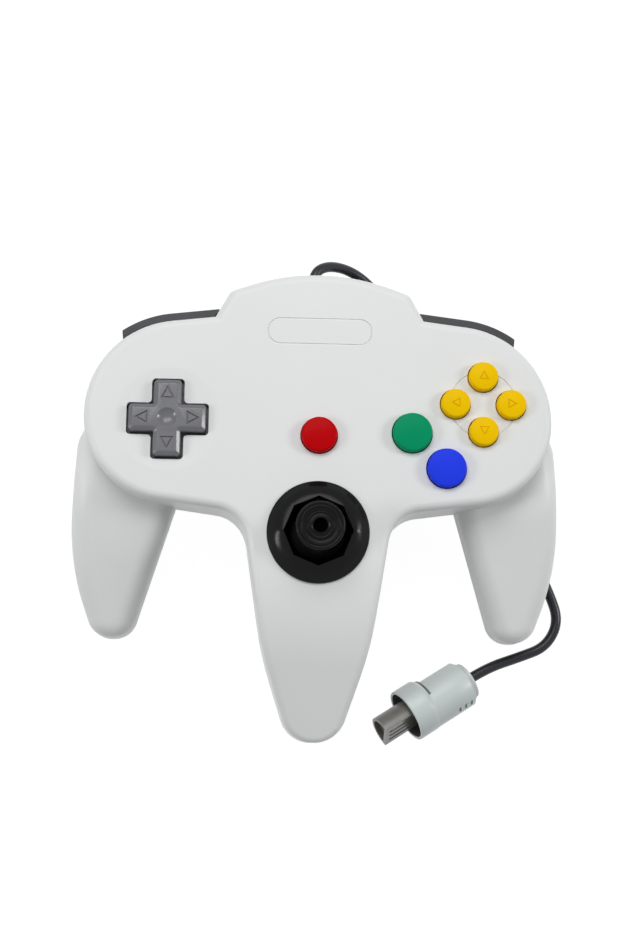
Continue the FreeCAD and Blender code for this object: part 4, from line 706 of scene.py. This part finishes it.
# Boards and rubber mats
# Circuit boards under green lacquer, screwed to posts in the halves, and grey silicone mats that
# lie on them with a dome under each button.
board_green = moulded("board_green", (0.02, 0.14, 0.05), 0.3, grain=400.0, shade=0.3, spread=300.0)
dress(board_green, "main_board", "stick_sensor_board", "trigger_board", "left_shoulder_board",
      "right_shoulder_board")
dome_rubber = moulded("dome_rubber", (0.32, 0.33, 0.35), 0.6, shade=0.08)
dress(dome_rubber, "direction_mat", "face_button_mat", "red_button_mat", "trigger_dome",
      "left_shoulder_dome", "right_shoulder_dome")


# Rear trigger
# A dark moulded lever in the underside of the middle handle. The wound steel spring between it
# and its switch board gets shorter as the lever goes in.
spring_low, spring_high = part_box("trigger_spring")
spring_middle = middle_of("trigger_spring")
spring_round = 0.0021
spring_wire = 0.0005
spring_turns = 4
steps_per_turn = 40
wire_points = 14
dress(dark_plastic, "rear_trigger")


def wound(name, middle, radius, wire, low, high, turns):
    """A round wire wound into an upright spring between two heights, in metres."""
    loops = []
    count = turns * steps_per_turn
    for step in range(count + 1):
        angle = 2 * math.pi * turns * step / count
        height = low + wire / 2 + (high - low - wire) * step / count
        loop = []
        for outward, upward in circle(wire_points):
            reach = radius + wire / 2 * outward
            loop.append((middle[0] + reach * math.cos(angle), middle[1] + reach * math.sin(angle),
                         height + wire / 2 * upward))
        loops.append(loop)
    return skinned(name, loops)


mesh = wound("trigger_spring_wound", spring_middle, spring_round, spring_wire, spring_low[2],
             spring_high[2], spring_turns)
spring = fitted("trigger_coil", mesh, steel, "casing", "steel", "trigger_spring")
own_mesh(spring)


# Accessory slot
# A black moulded connector behind the opening in the rear block, with sixteen stamped brass
# contacts that spring against what is pushed in.
brass = moulded("contact_brass", (0.78, 0.56, 0.2), 0.25, shade=0.08, Metallic=1.0)
dress(black_plastic, "accessory_connector")
dress(brass, "accessory_contacts")


# Cord sleeve
# A dark rubber sleeve pressed into the rear wall, which keeps the cord from bending sharply. A
# short end of the cord goes on inside to the white header on the main board.
dress(dark_plastic, "cord_grommet")
dress(cord_sheath, "cord_inner_end")


# Plug
# A pale round shroud moulded in one piece, ribbed where the cord enters and with a wide lip at
# its open front. It is built along the cord's direction from where the cord enters it.
plug_place = Matrix.Translation(plug_entry * MM) @ plug_spin.to_4x4()
plug_points = 128
plug_round = 8.0
plug_lip = 9.0
plug_aside = 0.9
plug_bore = 8.0
plug_end = 25.0
bore_floor = 16.0
lip_start = 15.0
lip_run = 3.4
lip_from = 7.1
lip_steps = 12
notch_first = 4.0
notch_step = 2.35
notch_long = 0.9
notch_wide = 2.6
notch_deep = 0.6


def plug_spot(along, across, upward):
    """A point in the plug's own millimetres, put where the plug lies."""
    return plug_place @ (Vector((along, across, upward)) * MM)


def plug_loop(along, radius, lip=0.0):
    """The outline of the shroud at a distance from the cord's entry."""
    loop = []
    for across, upward in circle(plug_points):
        aside = -plug_aside * upward
        reach = radius
        if lip:
            reach = max(radius, aside + math.sqrt(aside ** 2 - plug_aside ** 2 + lip ** 2))
        loop.append(plug_spot(along, reach * across, reach * upward))
    return loop


def bore_loop(along, radius):
    """A circle round the middle of the bore, which lies a little off the plug's own."""
    return [plug_spot(along, radius * across, radius * upward - plug_aside)
            for across, upward in circle(plug_points)]


def plug_box(low, high):
    """A box cutter between two corners, in the plug's own millimetres."""
    corners = [(low[0], low[1]), (high[0], low[1]), (high[0], high[1]), (low[0], high[1])]
    return skinned("plug_cutter", [[plug_spot(x, y, height) for x, y in corners]
                                   for height in (low[2], high[2])])


# Ribs and body from the cord's entry on, then the lip, its rounded edge and the bore.
loops = [plug_loop(along, radius) for along, radius in (
    (0, 5.9), (0.1, 6.15), (0.3, 6.3), (0.95, 6.3), (1.15, 6.2), (1.2, 5.95), (1.4, 5.95),
    (1.45, 6.75), (1.6, 6.9), (2.3, 6.9), (2.4, 6.8), (2.45, 6.6), (2.6, 6.6), (2.6, 7.75),
    (2.68, 7.93), (2.85, plug_round), (9.0, plug_round), (lip_start, plug_round))]
for index in range(1, lip_steps + 1):
    share = index / lip_steps
    ease = share * share * (3 - 2 * share)
    loops.append(plug_loop(lip_start + lip_run * share, plug_round,
                           lip_from + (plug_lip - lip_from) * ease))
loops += [plug_loop(plug_end - 0.3, plug_round, plug_lip),
          plug_loop(plug_end - 0.08, plug_round - 0.08, plug_lip - 0.08),
          bore_loop(plug_end, plug_lip - 0.3), bore_loop(plug_end, plug_bore + 0.2),
          bore_loop(plug_end - 0.2, plug_bore), bore_loop(bore_floor, plug_bore)]
notches = []
for index in range(3):
    notch = notch_first + notch_step * index
    notches.append(plug_box((notch, -notch_wide, plug_round - notch_deep),
                            (notch + notch_long, 0.0, plug_round + 1)))
plug_grey = moulded("plug_grey", (0.56, 0.61, 0.60), 0.34, grain=1600.0, depth=0.00002, shade=0.04,
                    spread=60.0, Specular_IOR_Level=0.4)
mesh = carved(skinned("shroud_blank", loops), *notches)
fitted("shroud", mesh, plug_grey, "casing", "shell_grey", "plug_shroud", smooth=34)
bore_grey = moulded("bore_grey", (0.13, 0.125, 0.122), 0.4, shade=0.08, Specular_IOR_Level=0.3)
mesh.materials.append(bore_grey)
for polygon in mesh.polygons:
    along, across, upward = plug_place.inverted() @ polygon.center / MM
    if along > bore_floor - 0.1 and math.hypot(across, upward + plug_aside) < plug_bore + 0.05:
        polygon.material_index = 1


# Plug tongue
# A smoky grey moulding, round on one side and flat on the other, with the contacts in grooves
# along its flat side. It closes the cord's free end.
smoky_plastic = moulded("smoky_plastic", (0.175, 0.166, 0.148), 0.3, shade=0.12, spread=160.0,
                        Specular_IOR_Level=0.5)
tin = moulded("tinned_contacts", (0.62, 0.62, 0.63), 0.32, shade=0.08, Metallic=1.0)
dress(smoky_plastic, "plug_tongue")
dress(tin, "plug_contacts")
